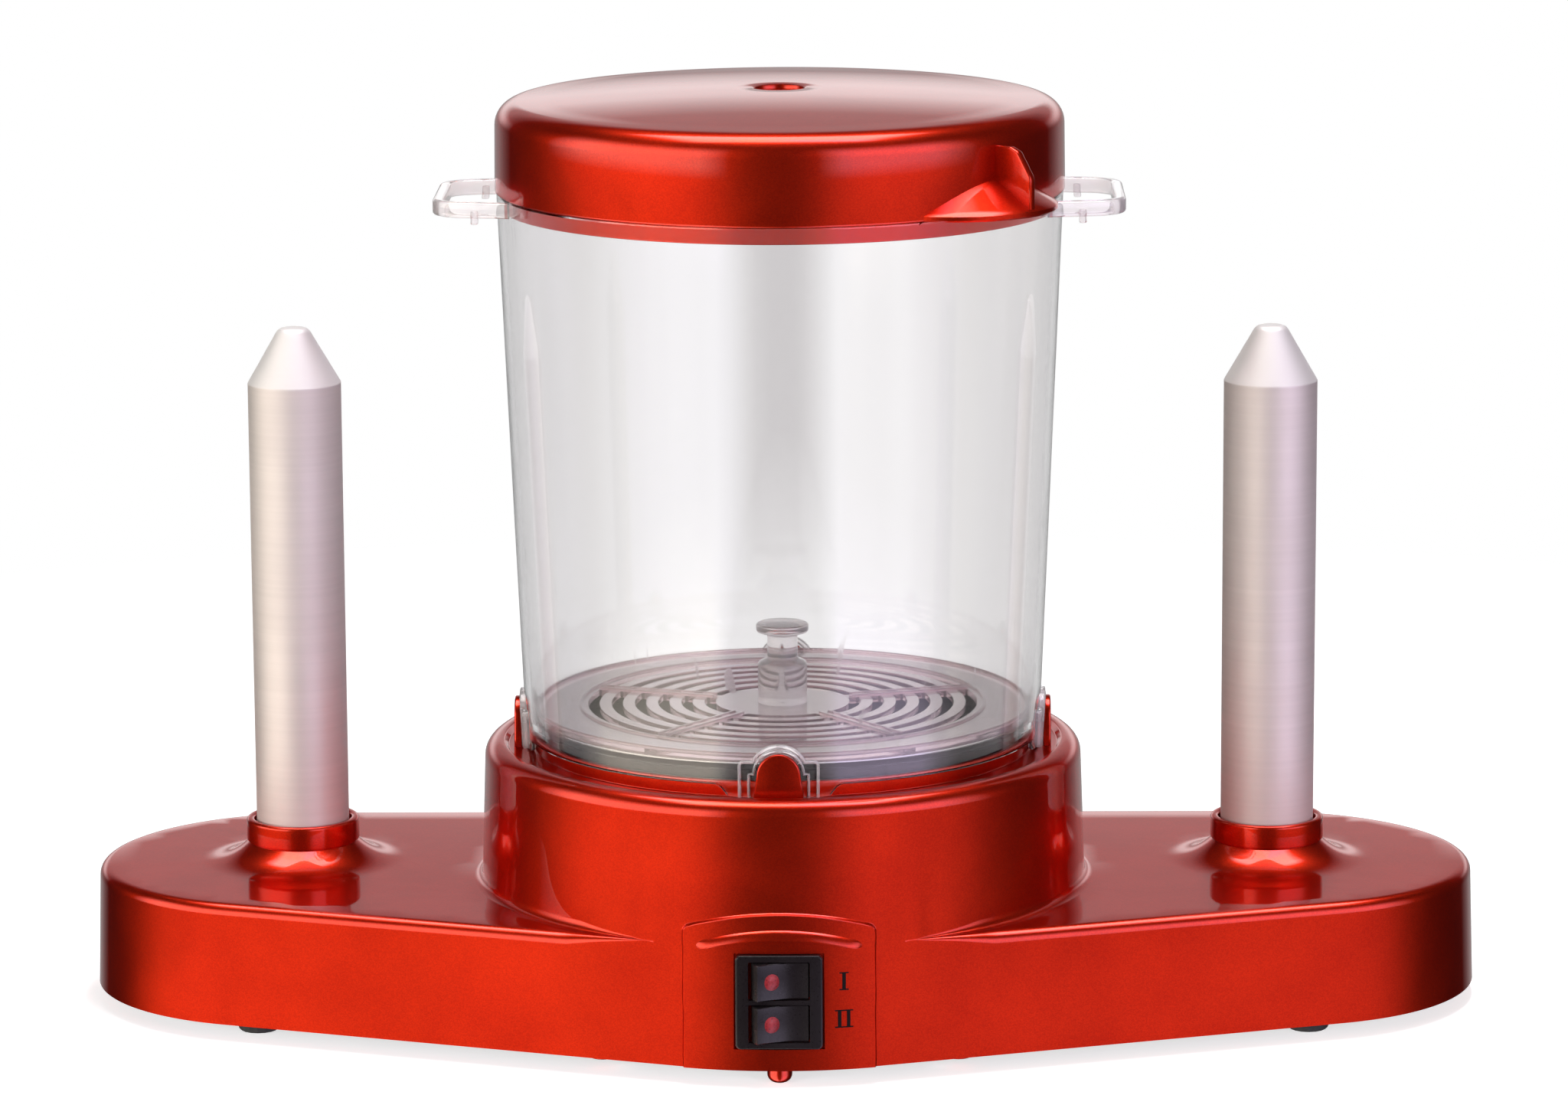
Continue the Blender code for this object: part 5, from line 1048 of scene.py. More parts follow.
    def add_tops(self, surface: Surface) -> None:
        """The wings' tops: flat sheets with a fillet at the drum and a dished rise at each collar.

        The rise falls from the neck as the flare's height times a power of one less the distance over
        the reach.
        """
        full, _ = self.wing_path(self.wing_top)
        share = self.shares(full)
        edge, _ = self.wing_path(self.wing_top, self.edge_round * share)
        radius = self.drum_radius(self.wing_top)
        angles = self.columns()
        tangent = self.tangent_angle(self.wing_top)
        rear_y = self.setback + self.end_radius - (self.wing_top - self.edge_z) * self.wing_draft
        crossing = math.asin(rear_y / radius)
        wrapped = (angles + math.pi) % FULL_TURN - math.pi
        chosen = np.sort(wrapped[(wrapped >= self.joint_angle - 1e-6) & (wrapped <= crossing + 1e-6)])
        root = self.root_round * self.root_share(chosen)
        fade = 1 - smooth_step(root, 0, self.blend_height)
        foot = radius - root * self.slope + np.where(chosen < 0, self.bulge(chosen) * fade, 0)
        turn = np.linspace(0, math.pi / 2, 6)
        rows = []
        for angle in turn:
            reach = foot + root * (1 - np.cos(angle))
            rows.append(np.column_stack([reach * np.cos(chosen), reach * np.sin(chosen),
                                         self.wing_top + root * (1 - np.sin(angle))]))
        fillet_grid = np.array(rows)
        inner = fillet_grid[-1][:, :2]
        loop = np.concatenate([edge, inner[::-1][1:-1]])
        collar = np.array([self.wing_x, self.setback])
        start = self.collar_radius - self.collar_neck
        around = arc(tuple(collar), start + self.flare_reach, 0, FULL_TURN, 96)[:-1]
        grid_x, grid_y = np.meshgrid(np.arange(0.03, 0.21, 0.006), np.arange(-0.07, 0.08, 0.006))
        loose = np.column_stack([grid_x.ravel(), grid_y.ravel()])
        from_collar = np.hypot(*(loose - collar).T)
        inside = from_collar < self.end_radius - self.edge_round - 0.003
        straight = (loose[:, 0] < self.wing_x) & (loose[:, 1] < rear_y - 0.007)
        normal = np.array([math.cos(tangent), math.sin(tangent)])
        straight &= loose @ normal < radius - self.edge_round - 0.003
        loose = loose[(inside | straight) & (from_collar > start + self.flare_reach + 0.002)
                      & (np.hypot(loose[:, 0], loose[:, 1]) > radius + self.root_round + 0.003)]
        points = np.concatenate([loop, around, loose])
        count, ring = len(loop), len(around)
        edges = [(index, (index + 1) % count) for index in range(count)]
        edges += [(count + index, count + (index + 1) % ring) for index in range(ring)]
        found = delaunay_2d_cdt([Vector(point) for point in points.tolist()], edges, [], 1, 1e-7)
        flat_points = np.array([tuple(point) for point in found[0]])
        triangles = np.array([face for face in found[2] if len(face) == 3])
        centres = flat_points[triangles].mean(axis=1)
        triangles = triangles[np.hypot(*(centres - collar).T) > start + self.flare_reach - 0.0001]
        sheet = np.column_stack([flat_points, np.full(len(flat_points), self.wing_top)])
        away = np.linspace(0, 1, 16)
        rise = self.flare_height * (1 - away) ** self.flare_power
        profile = np.column_stack([start + self.flare_reach * away, self.wing_top + rise])
        flare = lathe(profile, ring, tuple(collar))
        for side in Side:
            mirror = np.array([side.value, 1, 1])
            surface.add_grid(fillet_grid * mirror)
            surface.add_triangles(sheet * mirror, triangles)
            surface.add_grid(flare * mirror, wrap_rows=True)

    def add_edge(self, surface: Surface, front: np.ndarray) -> None:
        """The base's lower edge: its flat underside and the inner face up to the bottom cover.

        Args:
            surface: The surface that takes the faces.
            front: The front's lowest row, from the left joint to the right one.
        """
        right, normals = self.wing_path(self.edge_z)
        radius = self.drum_radius(self.edge_z)
        front = front[1:-1, :2]
        back = self.rear_rows()[0][1:-1, :2]
        left = right[::-1] * np.array([-1, 1])
        left_normals = normals[::-1] * np.array([-1, 1])
        loop = np.concatenate([front, right, back, left])
        out = np.concatenate([front / np.hypot(*front.T)[:, None], normals, back / radius, left_normals])
        inner = loop - out * self.wall
        rows = [np.column_stack([loop, np.full(len(loop), self.edge_z)]),
                np.column_stack([inner, np.full(len(loop), self.edge_z)]),
                np.column_stack([inner, np.full(len(loop), self.edge_z + 0.006)])]
        surface.add_grid(np.array(rows), wrap_columns=True)

    def make_shell(self) -> bpy.types.Object:
        """The whole red shell in one piece."""
        surface = Surface()
        self.add_drum(surface)
        opening, front_foot = self.add_front(surface)
        self.add_rear(surface)
        self.add_recess(surface, opening)
        self.add_wings(surface)
        self.add_tops(surface)
        self.add_edge(surface, front_foot)
        return surface.piece("housing_shell", self.palette.red, Body.BASE, "red_gloss", math.radians(28))

    def make_collar(self, side: Side) -> bpy.types.Object:
        """The plain ring that a spike rises from, as a turned profile with rounded rims."""
        neck = self.wing_top + self.flare_height
        top = neck + self.collar_height
        bore = self.collar_bore
        profile = fillet([(bore, self.wing_top - 0.002), (bore, top), (self.collar_radius, top),
                          (self.collar_radius, neck - 0.0001), (self.collar_radius - 0.0018, neck - 0.0004)],
                         [0, 0.0009, 0.0010, 0.0007, 0], 6)
        surface = Surface()
        surface.add_grid(lathe(profile, 96, (side.value * self.wing_x, self.setback)), wrap_rows=True)
        return surface.piece(side.name.lower() + "_collar", self.palette.red, Body.BASE, "red_gloss")

    def make_tabs(self) -> bpy.types.Object:
        """The four upright tabs that hold the container, tapered sides and round tips."""
        surface = Surface()
        half, tip, height, face, thick = 0.00785, 0.0064, 0.014, 0.07828, 0.0023
        crown = arc((0, self.ledge_z + height - tip), tip, 0, math.pi, 14)
        outline = np.concatenate([[[-half, self.ledge_z - 0.002], [half, self.ledge_z - 0.002]], crown])
        for index in range(4):
            place = turned_about_z(FULL_TURN * index / 4) @ facing_front()
            add_slab(surface, outline, face, face + thick, 0.0005, place)
        return surface.piece("housing_tabs", self.palette.red, Body.BASE, "red_gloss")

    def make_brow(self) -> bpy.types.Object:
        """The crescent ridge over the switches.

        Along it x runs from end to end. Across it the section starts at the lower lip, stands out most
        there and falls back to the panel at the upper edge. Both edges are shallow arches.
        """
        half, end_z, low_crown, high_crown = 0.0240, 0.0402, 0.0034, 0.0040
        u = np.sin(np.linspace(-math.pi / 2, math.pi / 2, 81))
        x = half * u
        tip = np.sqrt(np.clip(1 - np.abs(u) ** 24, 0, 1))
        low = end_z + low_crown * (1 - u ** 2) + 0.0013 * (1 - tip)
        high = end_z + high_crown * (1 - u ** 2) + 0.0013 + 0.0013 * tip
        share = np.array([0.0, 0.0, 0.04, 0.10, 0.22, 0.45, 0.70, 0.88, 1.0])
        rise = np.array([-0.8, 0.75, 0.97, 1.0, 0.94, 0.76, 0.48, 0.20, -0.25])
        height = low[:, None] * (1 - share) + high[:, None] * share
        fade = np.clip(1 - np.abs(u) ** 16, 0.05, 1)[:, None]
        radius = self.drum_radius(height) + self.panel_rise + 0.0015 * rise[None] * fade
        y = -np.sqrt(radius ** 2 - x[:, None] ** 2)
        grid = np.stack([np.broadcast_to(x[:, None], y.shape), y, height], axis=-1)
        surface = Surface()
        surface.add_grid(grid, wrap_columns=True)
        return surface.piece("switch_brow", self.palette.red, Body.BASE, "red_gloss", math.radians(50))

    def make_feet(self) -> bpy.types.Object:
        """The moulded centre foot and the two small lugs under the front edge."""
        surface = Surface()
        places = ((0.0, -0.0865, 0.0, 0.0037, 0.0026), (-0.052, -0.0712, 0.0034, 0.0042, 0.0006),
                  (0.052, -0.0712, 0.0034, 0.0042, 0.0006))
        for x, y, low, radius, round_ in places:
            profile = fillet([(0, low), (radius, low), (radius, self.edge_z + 0.004), (0, self.edge_z + 0.004)],
                             [0, round_, 0, 0], 6)
            surface.add_grid(lathe(profile, 32, (x, y)), wrap_rows=True)
        return surface.piece("moulded_feet", self.palette.red, Body.BASE, "red_gloss")

    def build(self) -> list[bpy.types.Object]:
        """Makes every piece and hides the plain housing that they stand for."""
        pieces = [self.make_shell(), self.make_tabs(), self.make_brow(), self.make_feet()]
        pieces += [self.make_collar(side) for side in Side]
        for piece in pieces:
            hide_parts("base_housing")
        return pieces


@dataclass
class Spike:
    """A satin aluminium warming spike."""

    palette: Palette
    side: Side
    x: float = 0.147
    y: float = 0.0185
    radius: float = 0.01405
    tip_z: float = 0.2055
    cone: float = 0.0167
    nose: float = 0.0044
    foot_z: float = 0.0301

    def build(self) -> list[bpy.types.Object]:
        """Makes the turned spike: a straight side, a crisp break and a cone with a rounded nose."""
        top = self.tip_z
        profile = fillet([(0, top), (self.nose, top), (self.radius, top - self.cone), (self.radius, self.foot_z),
                          (self.radius + 0.0019, self.foot_z), (self.radius + 0.0019, self.foot_z - 0.0016),
                          (0, self.foot_z - 0.0016)],
                         [0, 0.0030, 0.0007, 0, 0, 0, 0], 8)
        surface = Surface()
        surface.add_grid(lathe(profile, 96, (self.side.value * self.x, self.y)), wrap_rows=True)
        name = self.side.name.lower() + "_spike"
        piece = surface.piece(name + "_turned", self.palette.spike, Body.BASE, "satin_aluminium", math.radians(20))
        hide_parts(name)
        return [piece]


@dataclass
class Container:
    """The clear steaming container with its skirt, tab frames and two loop handles."""

    palette: Palette
    top_radius: float = 0.0840
    foot_radius: float = 0.0771
    foot_z: float = 0.0823
    top_z: float = 0.2497
    wall: float = 0.0020
    skirt_lift: float = 0.0037
    foot_half: float = 0.0165
    ledge_z: float = 0.0922
    ledge_width: float = 0.0021
    ledge_depth: float = 0.0018
    columns: int = 256

    def radius(self, z: np.ndarray | float) -> np.ndarray | float:
        """Outer radius of the tapered wall, linear in height."""
        return self.foot_radius + (self.top_radius - self.foot_radius) * (z - self.foot_z) / (self.top_z - self.foot_z)

    def make_wall(self) -> bpy.types.Object:
        """The tapered wall. Between its four feet the lower edge is lifted by a smooth step."""
        angles = np.arange(self.columns) * FULL_TURN / self.columns
        from_tab = np.abs((angles + math.pi / 4) % (math.pi / 2) - math.pi / 4) * self.foot_radius
        lift = self.skirt_lift * smooth_step(from_tab, self.foot_half - 0.002, self.foot_half + 0.002)
        low = self.foot_z + lift
        ledge_low = self.ledge_z - self.ledge_depth
        inner = self.radius(self.ledge_z) - self.wall - self.ledge_width
        outer_z = np.array([self.top_z, self.top_z - 0.0004, 0.2, 0.15, 0.11, self.ledge_z, ledge_low])
        outer_r = self.radius(outer_z) - np.array([0.0004, 0, 0, 0, 0, 0, 0])
        rows = []
        for r, z in zip(outer_r, outer_z):
            rows.append(np.stack([r * np.cos(angles), r * np.sin(angles), np.full_like(angles, z)], axis=-1))
        for drop, draw in ((0.0005, 0.0), (0.0, 0.0005), (0.0, self.wall - 0.0005), (0.0005, self.wall)):
            z = low + drop
            r = self.radius(z) - draw
            rows.append(np.stack([r * np.cos(angles), r * np.sin(angles), z], axis=-1))
        inner_z = np.array([ledge_low, ledge_low, self.ledge_z, self.ledge_z, 0.11, 0.15, 0.2, self.top_z - 0.0004,
                            self.top_z])
        inner_r = self.radius(inner_z) - self.wall
        inner_r[1:3] = inner
        inner_r[-1] += 0.0004
        for r, z in zip(inner_r, inner_z):
            rows.append(np.stack([r * np.cos(angles), r * np.sin(angles), np.full_like(angles, z)], axis=-1))
        surface = Surface()
        surface.add_grid(np.array(rows), wrap_rows=True, wrap_columns=True)
        return surface.piece("container_wall", self.palette.wall, Body.CONTAINER, "clear_plastic")

    def make_frames(self) -> bpy.types.Object:
        """The arched ribs round the housing's tabs, as swept strips on the wall's outside."""
        surface = Surface()
        half, tip, height, ledge = 0.00785, 0.0064, 0.014, 0.082
        middle, foot = ledge + height - tip, self.foot_z + 0.0002
        for gap, rib, depth, out in ((0.0008, 0.0008, 0.0015, 0.0), (0.0020, 0.0009, 0.0013, 0.0016)):
            rise = math.asin(0.0036 / (tip + gap)) if out else 0.0
            crown = arc((0, middle), tip + gap, rise, math.pi - rise, 20)
            side = half + gap + out
            shoulder = fillet([(side, foot), (side, crown[0, 1]), tuple(crown[0])], [0, 0.0012 if out else 0.0, 0], 4)
            path = np.concatenate([shoulder[:-1], crown, shoulder[:-1][::-1] * np.array([-1, 1])])
            along = np.gradient(path, axis=0)
            along /= np.linalg.norm(along, axis=1, keepdims=True)
            across = np.stack([-along[:, 1], along[:, 0]], axis=-1)
            section = round_rectangle(rib, depth + 0.0008, rib / 2.2, steps=3)
            ring = path[:, None] + across[:, None] * section[None, :, :1]
            away = self.radius(ring[..., 1]) - 0.0004 + depth / 2 + section[None, :, 1]
            angle = np.arctan2(ring[..., 0], self.foot_radius)
            grid = np.stack([away * np.sin(angle), -away * np.cos(angle), ring[..., 1]], axis=-1)
            for index in range(4):
                surface.add_grid(carried(grid, turned_about_z(FULL_TURN * index / 4)), wrap_columns=True)
                for end in (0, -1):
                    surface.add_cap(carried(grid[end], turned_about_z(FULL_TURN * index / 4)))
        return surface.piece("tab_frames", self.palette.clear, Body.CONTAINER, "clear_plastic")

    def make_handles(self) -> bpy.types.Object:
        """Two loop handles: a rounded bar swept out from the wall, along and back, with a nib below."""
        reach, span, bar, height, corner, splay = 0.018, 0.058, 0.0035, 0.0046, 0.009, 0.004
        half = span / 2 - bar / 2
        wall = self.top_radius
        root = math.sqrt(wall * wall - half * half) - self.wall * 0.6
        out = wall + reach - bar / 2
        path2 = fillet([(root, half), (out, half - splay), (out, splay - half), (root, -half)],
                       [0, corner, corner, 0], 10)
        z = self.top_z - height / 2 - 0.0003
        section = round_rectangle(bar, height, 0.0009, steps=3)
        surface = Surface()
        for side in Side:
            path = np.column_stack([side.value * path2[:, 0], path2[:, 1], np.full(len(path2), z)])
            grid = swept(path, section)
            surface.add_grid(grid, wrap_columns=True)
            for end in (0, -1):
                surface.add_cap(grid[end])
            for end in Side:
                nib = round_rectangle(0.0022, 0.0030, 0.0008, (side.value * (wall + 0.0050), end.value * half))
                add_slab(surface, nib, z - height / 2 - 0.0016, z, 0.0004, np.eye(4))
        return surface.piece("loop_handles", self.palette.clear, Body.CONTAINER, "clear_plastic")

    def build(self) -> list[bpy.types.Object]:
        """Makes every piece and hides the plain container."""
        pieces = [self.make_wall(), self.make_frames(), self.make_handles()]
        for piece in pieces:
            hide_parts("container")
        return pieces


@dataclass
class Tray:
    """The clear slotted tray with its lifting post."""

    palette: Palette
    radius: float = 0.0745
    bottom_z: float = 0.0925
    thickness: float = 0.0019
    slot_reach: float = 0.0585
    slot_width: float = 0.0034
    slot_pitch: float = 0.0070
    slot_rings: int = 6
    spoke: float = 0.0040
    spokes: int = 5
    rib_width: float = 0.0008
    rib_height: float = 0.0009
    rib_start: float = 0.0215

    def make_plate(self) -> bpy.types.Object:
        """The plate: a polar grid whose cells between two spokes in a slot ring are left open.

        Lines of the grid fall on every slot's edges, and walls close each open cell's sides.
        """
        surface = Surface()
        edges = [0.0]
        for ring in reversed(range(self.slot_rings)):
            outer = self.slot_reach - ring * self.slot_pitch
            edges += [outer - self.slot_width, outer]
        edges.append(self.radius)
        edges = np.array(edges)
        edges[0] = 0.0005
        per_spoke = 16
        web = self.spoke / np.maximum(edges, 0.012) / 2
        pitch = FULL_TURN / self.spokes
        share = np.linspace(0, 1, per_spoke + 1)
        low, high = self.bottom_z, self.bottom_z + self.thickness
        columns = []
        for index in range(self.spokes):
            start = math.pi / 2 + index * pitch
            columns.append(np.full_like(web, start))
            for value in share[:-1]:
                columns.append(start + web + (pitch - 2 * web) * value)
            columns.append(start + pitch - web)
        angles = np.array(columns)
        x, y = edges[None] * np.cos(angles), edges[None] * np.sin(angles)
        top = np.stack([x, y, np.full_like(x, high)], axis=-1)
        bottom = np.stack([x, y, np.full_like(x, low)], axis=-1)
        rows, count = angles.shape
        column = np.arange(rows) % (per_spoke + 2)
        in_slot_column = (column >= 1) & (column <= per_spoke)
        in_slot_ring = (np.arange(count - 1) % 2 == 1)
        in_slot_ring[-1] = False
        opened = in_slot_column[:, None] & in_slot_ring[None]
        surface.add_grid(top, wrap_rows=True, keep=~opened)
        surface.add_grid(bottom, wrap_rows=True, keep=~opened)
        rim = np.stack([top[:, -1], bottom[:, -1]])
        surface.add_grid(rim, wrap_columns=True)
        for middle, wide, tall in ((self.radius - 0.0009, 0.0012, 0.0008), (self.slot_reach + 0.0022, 0.0010, 0.0006)):
            rib = fillet([(middle + wide / 2, high - 0.0001), (middle + wide / 2, high + tall),
                          (middle - wide / 2, high + tall), (middle - wide / 2, high - 0.0001)],
                         [0, wide * 0.3, wide * 0.3, 0], 3)
            surface.add_grid(lathe(rib, 160), wrap_rows=True)
        centre = np.stack([top[:, 0], bottom[:, 0]])
        surface.add_grid(centre, wrap_columns=True)
        for index in range(self.spokes):
            first = index * (per_spoke + 2) + 1
            chosen = np.arange(first, first + per_spoke + 1) % rows
            for ring in np.nonzero(in_slot_ring)[0]:
                for edge in (ring, ring + 1):
                    surface.add_grid(np.stack([top[chosen, edge], bottom[chosen, edge]]))
                for end in (chosen[0], chosen[-1]):
                    surface.add_grid(np.stack([top[end, ring:ring + 2], bottom[end, ring:ring + 2]]))
        self.add_ribs(surface)
        return surface.piece("tray_plate", self.palette.tray, Body.TRAY, "clear_plastic", math.radians(30))

    def add_ribs(self, surface: Surface) -> None:
        """Two fine ribs on each spoke, one along each edge."""
        low = self.bottom_z + self.thickness
        length = self.slot_reach - self.rib_start
        for index in range(self.spokes):
            turn = turned_about_z(math.pi / 2 + index * FULL_TURN / self.spokes)
            for side in Side:
                offset = side.value * (self.spoke - self.rib_width) / 2
                outline = round_rectangle(length, self.rib_width, self.rib_width * 0.3,
                                          (self.rib_start + length / 2, offset), 3)
                add_slab(surface, outline, low - 0.0001, low + self.rib_height, 0.0002, turn)

    def make_post(self) -> bpy.types.Object:
        """The lifting post: a stem, a neck and a flat knob, turned with rounded rims."""
        z = self.bottom_z + self.thickness
        profile = fillet([(0, z + 0.0241), (0.0079, z + 0.0241), (0.0079, z + 0.0216), (0.0046, z + 0.0208),
                          (0.0046, z + 0.0134), (0.0074, z + 0.0122), (0.0074, z - 0.0004), (0, z - 0.0004)],
                         [0, 0.0008, 0.0008, 0.0010, 0.0012, 0.0014, 0, 0], 5)
        surface = Surface()
        surface.add_grid(lathe(profile, 64), wrap_rows=True)
        return surface.piece("tray_post", self.palette.clear, Body.TRAY, "clear_plastic")

    def build(self) -> list[bpy.types.Object]:
        """Makes both pieces and hides the plain tray."""
        pieces = [self.make_plate(), self.make_post()]
        for piece in pieces:
            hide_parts("steam_tray")
        return pieces


@dataclass
class Lid:
    """The red lid with a domed top, a steam hole, an inner skirt and two grips."""

    palette: Palette
    radius: float = 0.0845
    bottom_z: float = 0.2500
    height: float = 0.0265
    dome: float = 0.0035
    round: float = 0.0075
    wall: float = 0.0024
    hole: float = 0.0073
    grip_reach: float = 0.0135
    cone_radius: float = 0.030
    cone_rise: float = 0.0178
    lip: float = 0.0018
    fin_top: float = 0.0198
    fin_thickness: float = 0.0024
    grip_angles: tuple[float, float] = (math.radians(-41), math.radians(139))

    def top(self, radius: np.ndarray) -> np.ndarray:
        """Height of the domed top: the edge's height plus the dome times one less the square of the share."""
        reach = self.radius - self.round
        return self.bottom_z + self.height + self.dome * (1 - (radius / reach) ** 2)

    def make_shell(self) -> bpy.types.Object:
        """The turned shell, from the steam hole over the top and down the side to the inner skirt."""
        edge = self.bottom_z + self.height
        shoulder = self.radius - self.round
        r = np.linspace(self.hole + 0.001, shoulder - 0.004, 14)
        dome = np.column_stack([r, self.top(r)])
        corner = fillet([(shoulder - 0.004, float(self.top(np.array(shoulder - 0.004)))), (self.radius - 0.0003, edge - 0.0002),
                         (self.radius, self.bottom_z), (0.0813, self.bottom_z), (0.0813, self.bottom_z - 0.0052),
                         (0.0795, self.bottom_z - 0.0052), (0.0795, self.bottom_z + 0.004),
                         (self.radius - self.wall, self.bottom_z + 0.006), (self.radius - self.wall, edge - self.wall),
                         (shoulder - 0.004, edge - self.wall + 0.0006)],
                        [0, self.round - 0.0005, 0.0006, 0, 0.0004, 0.0004, 0, 0, 0.004, 0], 10)
        roof = np.column_stack([r[::-1], self.top(r[::-1]) - self.wall])
        throat = np.array([[self.hole, self.top(np.array(self.hole)) - self.wall + 0.0006],
                           [self.hole, self.top(np.array(self.hole)) - 0.0010],
                           [self.hole + 0.0003, self.top(np.array(self.hole)) - 0.0003]])
        profile = np.concatenate([dome[:-1], corner, roof[1:], throat])
        surface = Surface()
        surface.add_grid(lathe(profile, 224), wrap_rows=True, wrap_columns=True)
        return surface.piece("lid_shell", self.palette.red, Body.LID, "red_gloss", math.radians(26))

    def visor_grid(self) -> np.ndarray:
        """The visor at angle zero: rays from the cone's axis, each from the lid's side to the rim.

        Along a ray the distance runs from where it leaves the lid to the cone's radius, and the height
        falls in proportion. The section goes down the slope, round the lip and back underneath.
        """
        centre = self.radius + self.grip_reach - self.cone_radius
        inner = self.radius - 0.0012
        limit = math.acos((inner ** 2 - centre ** 2 - self.cone_radius ** 2) / (2 * centre * self.cone_radius))
        rays = np.linspace(-limit, limit, 49)
        near = -centre * np.cos(rays) + np.sqrt(inner ** 2 - (centre * np.sin(rays)) ** 2)
        share = np.linspace(0, 1, 9)
        rows = []
        far = self.cone_radius
        for value in share:
            rho = near + (far - 0.0006 - near) * value
            rows.append((rho, self.bottom_z + self.lip + self.cone_rise * (1 - rho / far)))
        rows.append((np.full_like(rays, far), np.full_like(rays, self.bottom_z + self.lip - 0.0002)))
        rows.append((np.full_like(rays, far), np.full_like(rays, self.bottom_z + 0.0005)))
        rows.append((np.full_like(rays, far - 0.0005), np.full_like(rays, self.bottom_z)))
        rows.append((np.full_like(rays, far - self.lip), np.full_like(rays, self.bottom_z)))
        for value in share[::-1]:
            rho = near + (far - self.lip - near) * value
            rows.append((rho, self.bottom_z + self.cone_rise * (1 - (rho + self.lip) / far)))
        grid = [np.stack([centre + rho * np.cos(rays), rho * np.sin(rays), z], axis=-1) for rho, z in rows]
        return np.array(grid)

    def make_grip(self, index: int, angle: float) -> bpy.types.Object:
        """A grip: the sloped visor and an upright fin with a sloped outer corner.

        Args:
            index: The grip's number.
            angle: Its direction round the lid.
        """
        surface = Surface()
        turn = turned_about_z(angle)
        surface.add_grid(carried(self.visor_grid(), turn))
        root, tip = self.radius - 0.001, self.radius + self.grip_reach - 0.0006
        top = self.bottom_z + self.fin_top
        outline = fillet([(root, self.bottom_z + 0.001), (tip, self.bottom_z + 0.001), (tip, top - 0.0085),
                          (self.radius + 0.0080, top - 0.0012), (self.radius + 0.0052, top), (root, top)],
                         [0, 0, 0.004, 0.003, 0.002, 0], 4)
        place = turn @ np.array([[1, 0, 0, 0], [0, 0, -1, 0], [0, 1, 0, 0], [0, 0, 0, 1]], dtype=float)
        add_slab(surface, outline, -self.fin_thickness / 2, self.fin_thickness / 2, 0.0006, place)
        return surface.piece("lid_grip_" + str(index + 1), self.palette.red, Body.LID, "red_gloss")

    def build(self) -> list[bpy.types.Object]:
        """Makes the shell and both grips and hides the plain lid."""
        pieces = [self.make_shell()]
        pieces += [self.make_grip(index, angle) for index, angle in enumerate(self.grip_angles)]
        for piece in pieces:
            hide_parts("lid")
        return pieces


@dataclass
class WaterPan:
    """The dark metal pan that the water boils in."""

    palette: Palette
    radius: float = 0.0720
    rim_z: float = 0.0922
    floor_z: float = 0.0826
    wall: float = 0.0012

    def build(self) -> list[bpy.types.Object]:
        """Makes the turned pan with a rounded rim and floor."""
        inner = self.radius - self.wall
        profile = fillet([(0, self.floor_z + self.wall), (inner, self.floor_z + self.wall), (inner, self.rim_z),
                          (self.radius, self.rim_z), (self.radius, self.floor_z), (0, self.floor_z)],
                         [0, 0.003, 0.0004, 0.0004, 0.0035, 0], 6)
        surface = Surface()
        surface.add_grid(lathe(profile, 192), wrap_rows=True)
        piece = surface.piece("water_pan", self.palette.pan, Body.BASE, "pan_metal")
        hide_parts("heating_pan")
        return [piece]


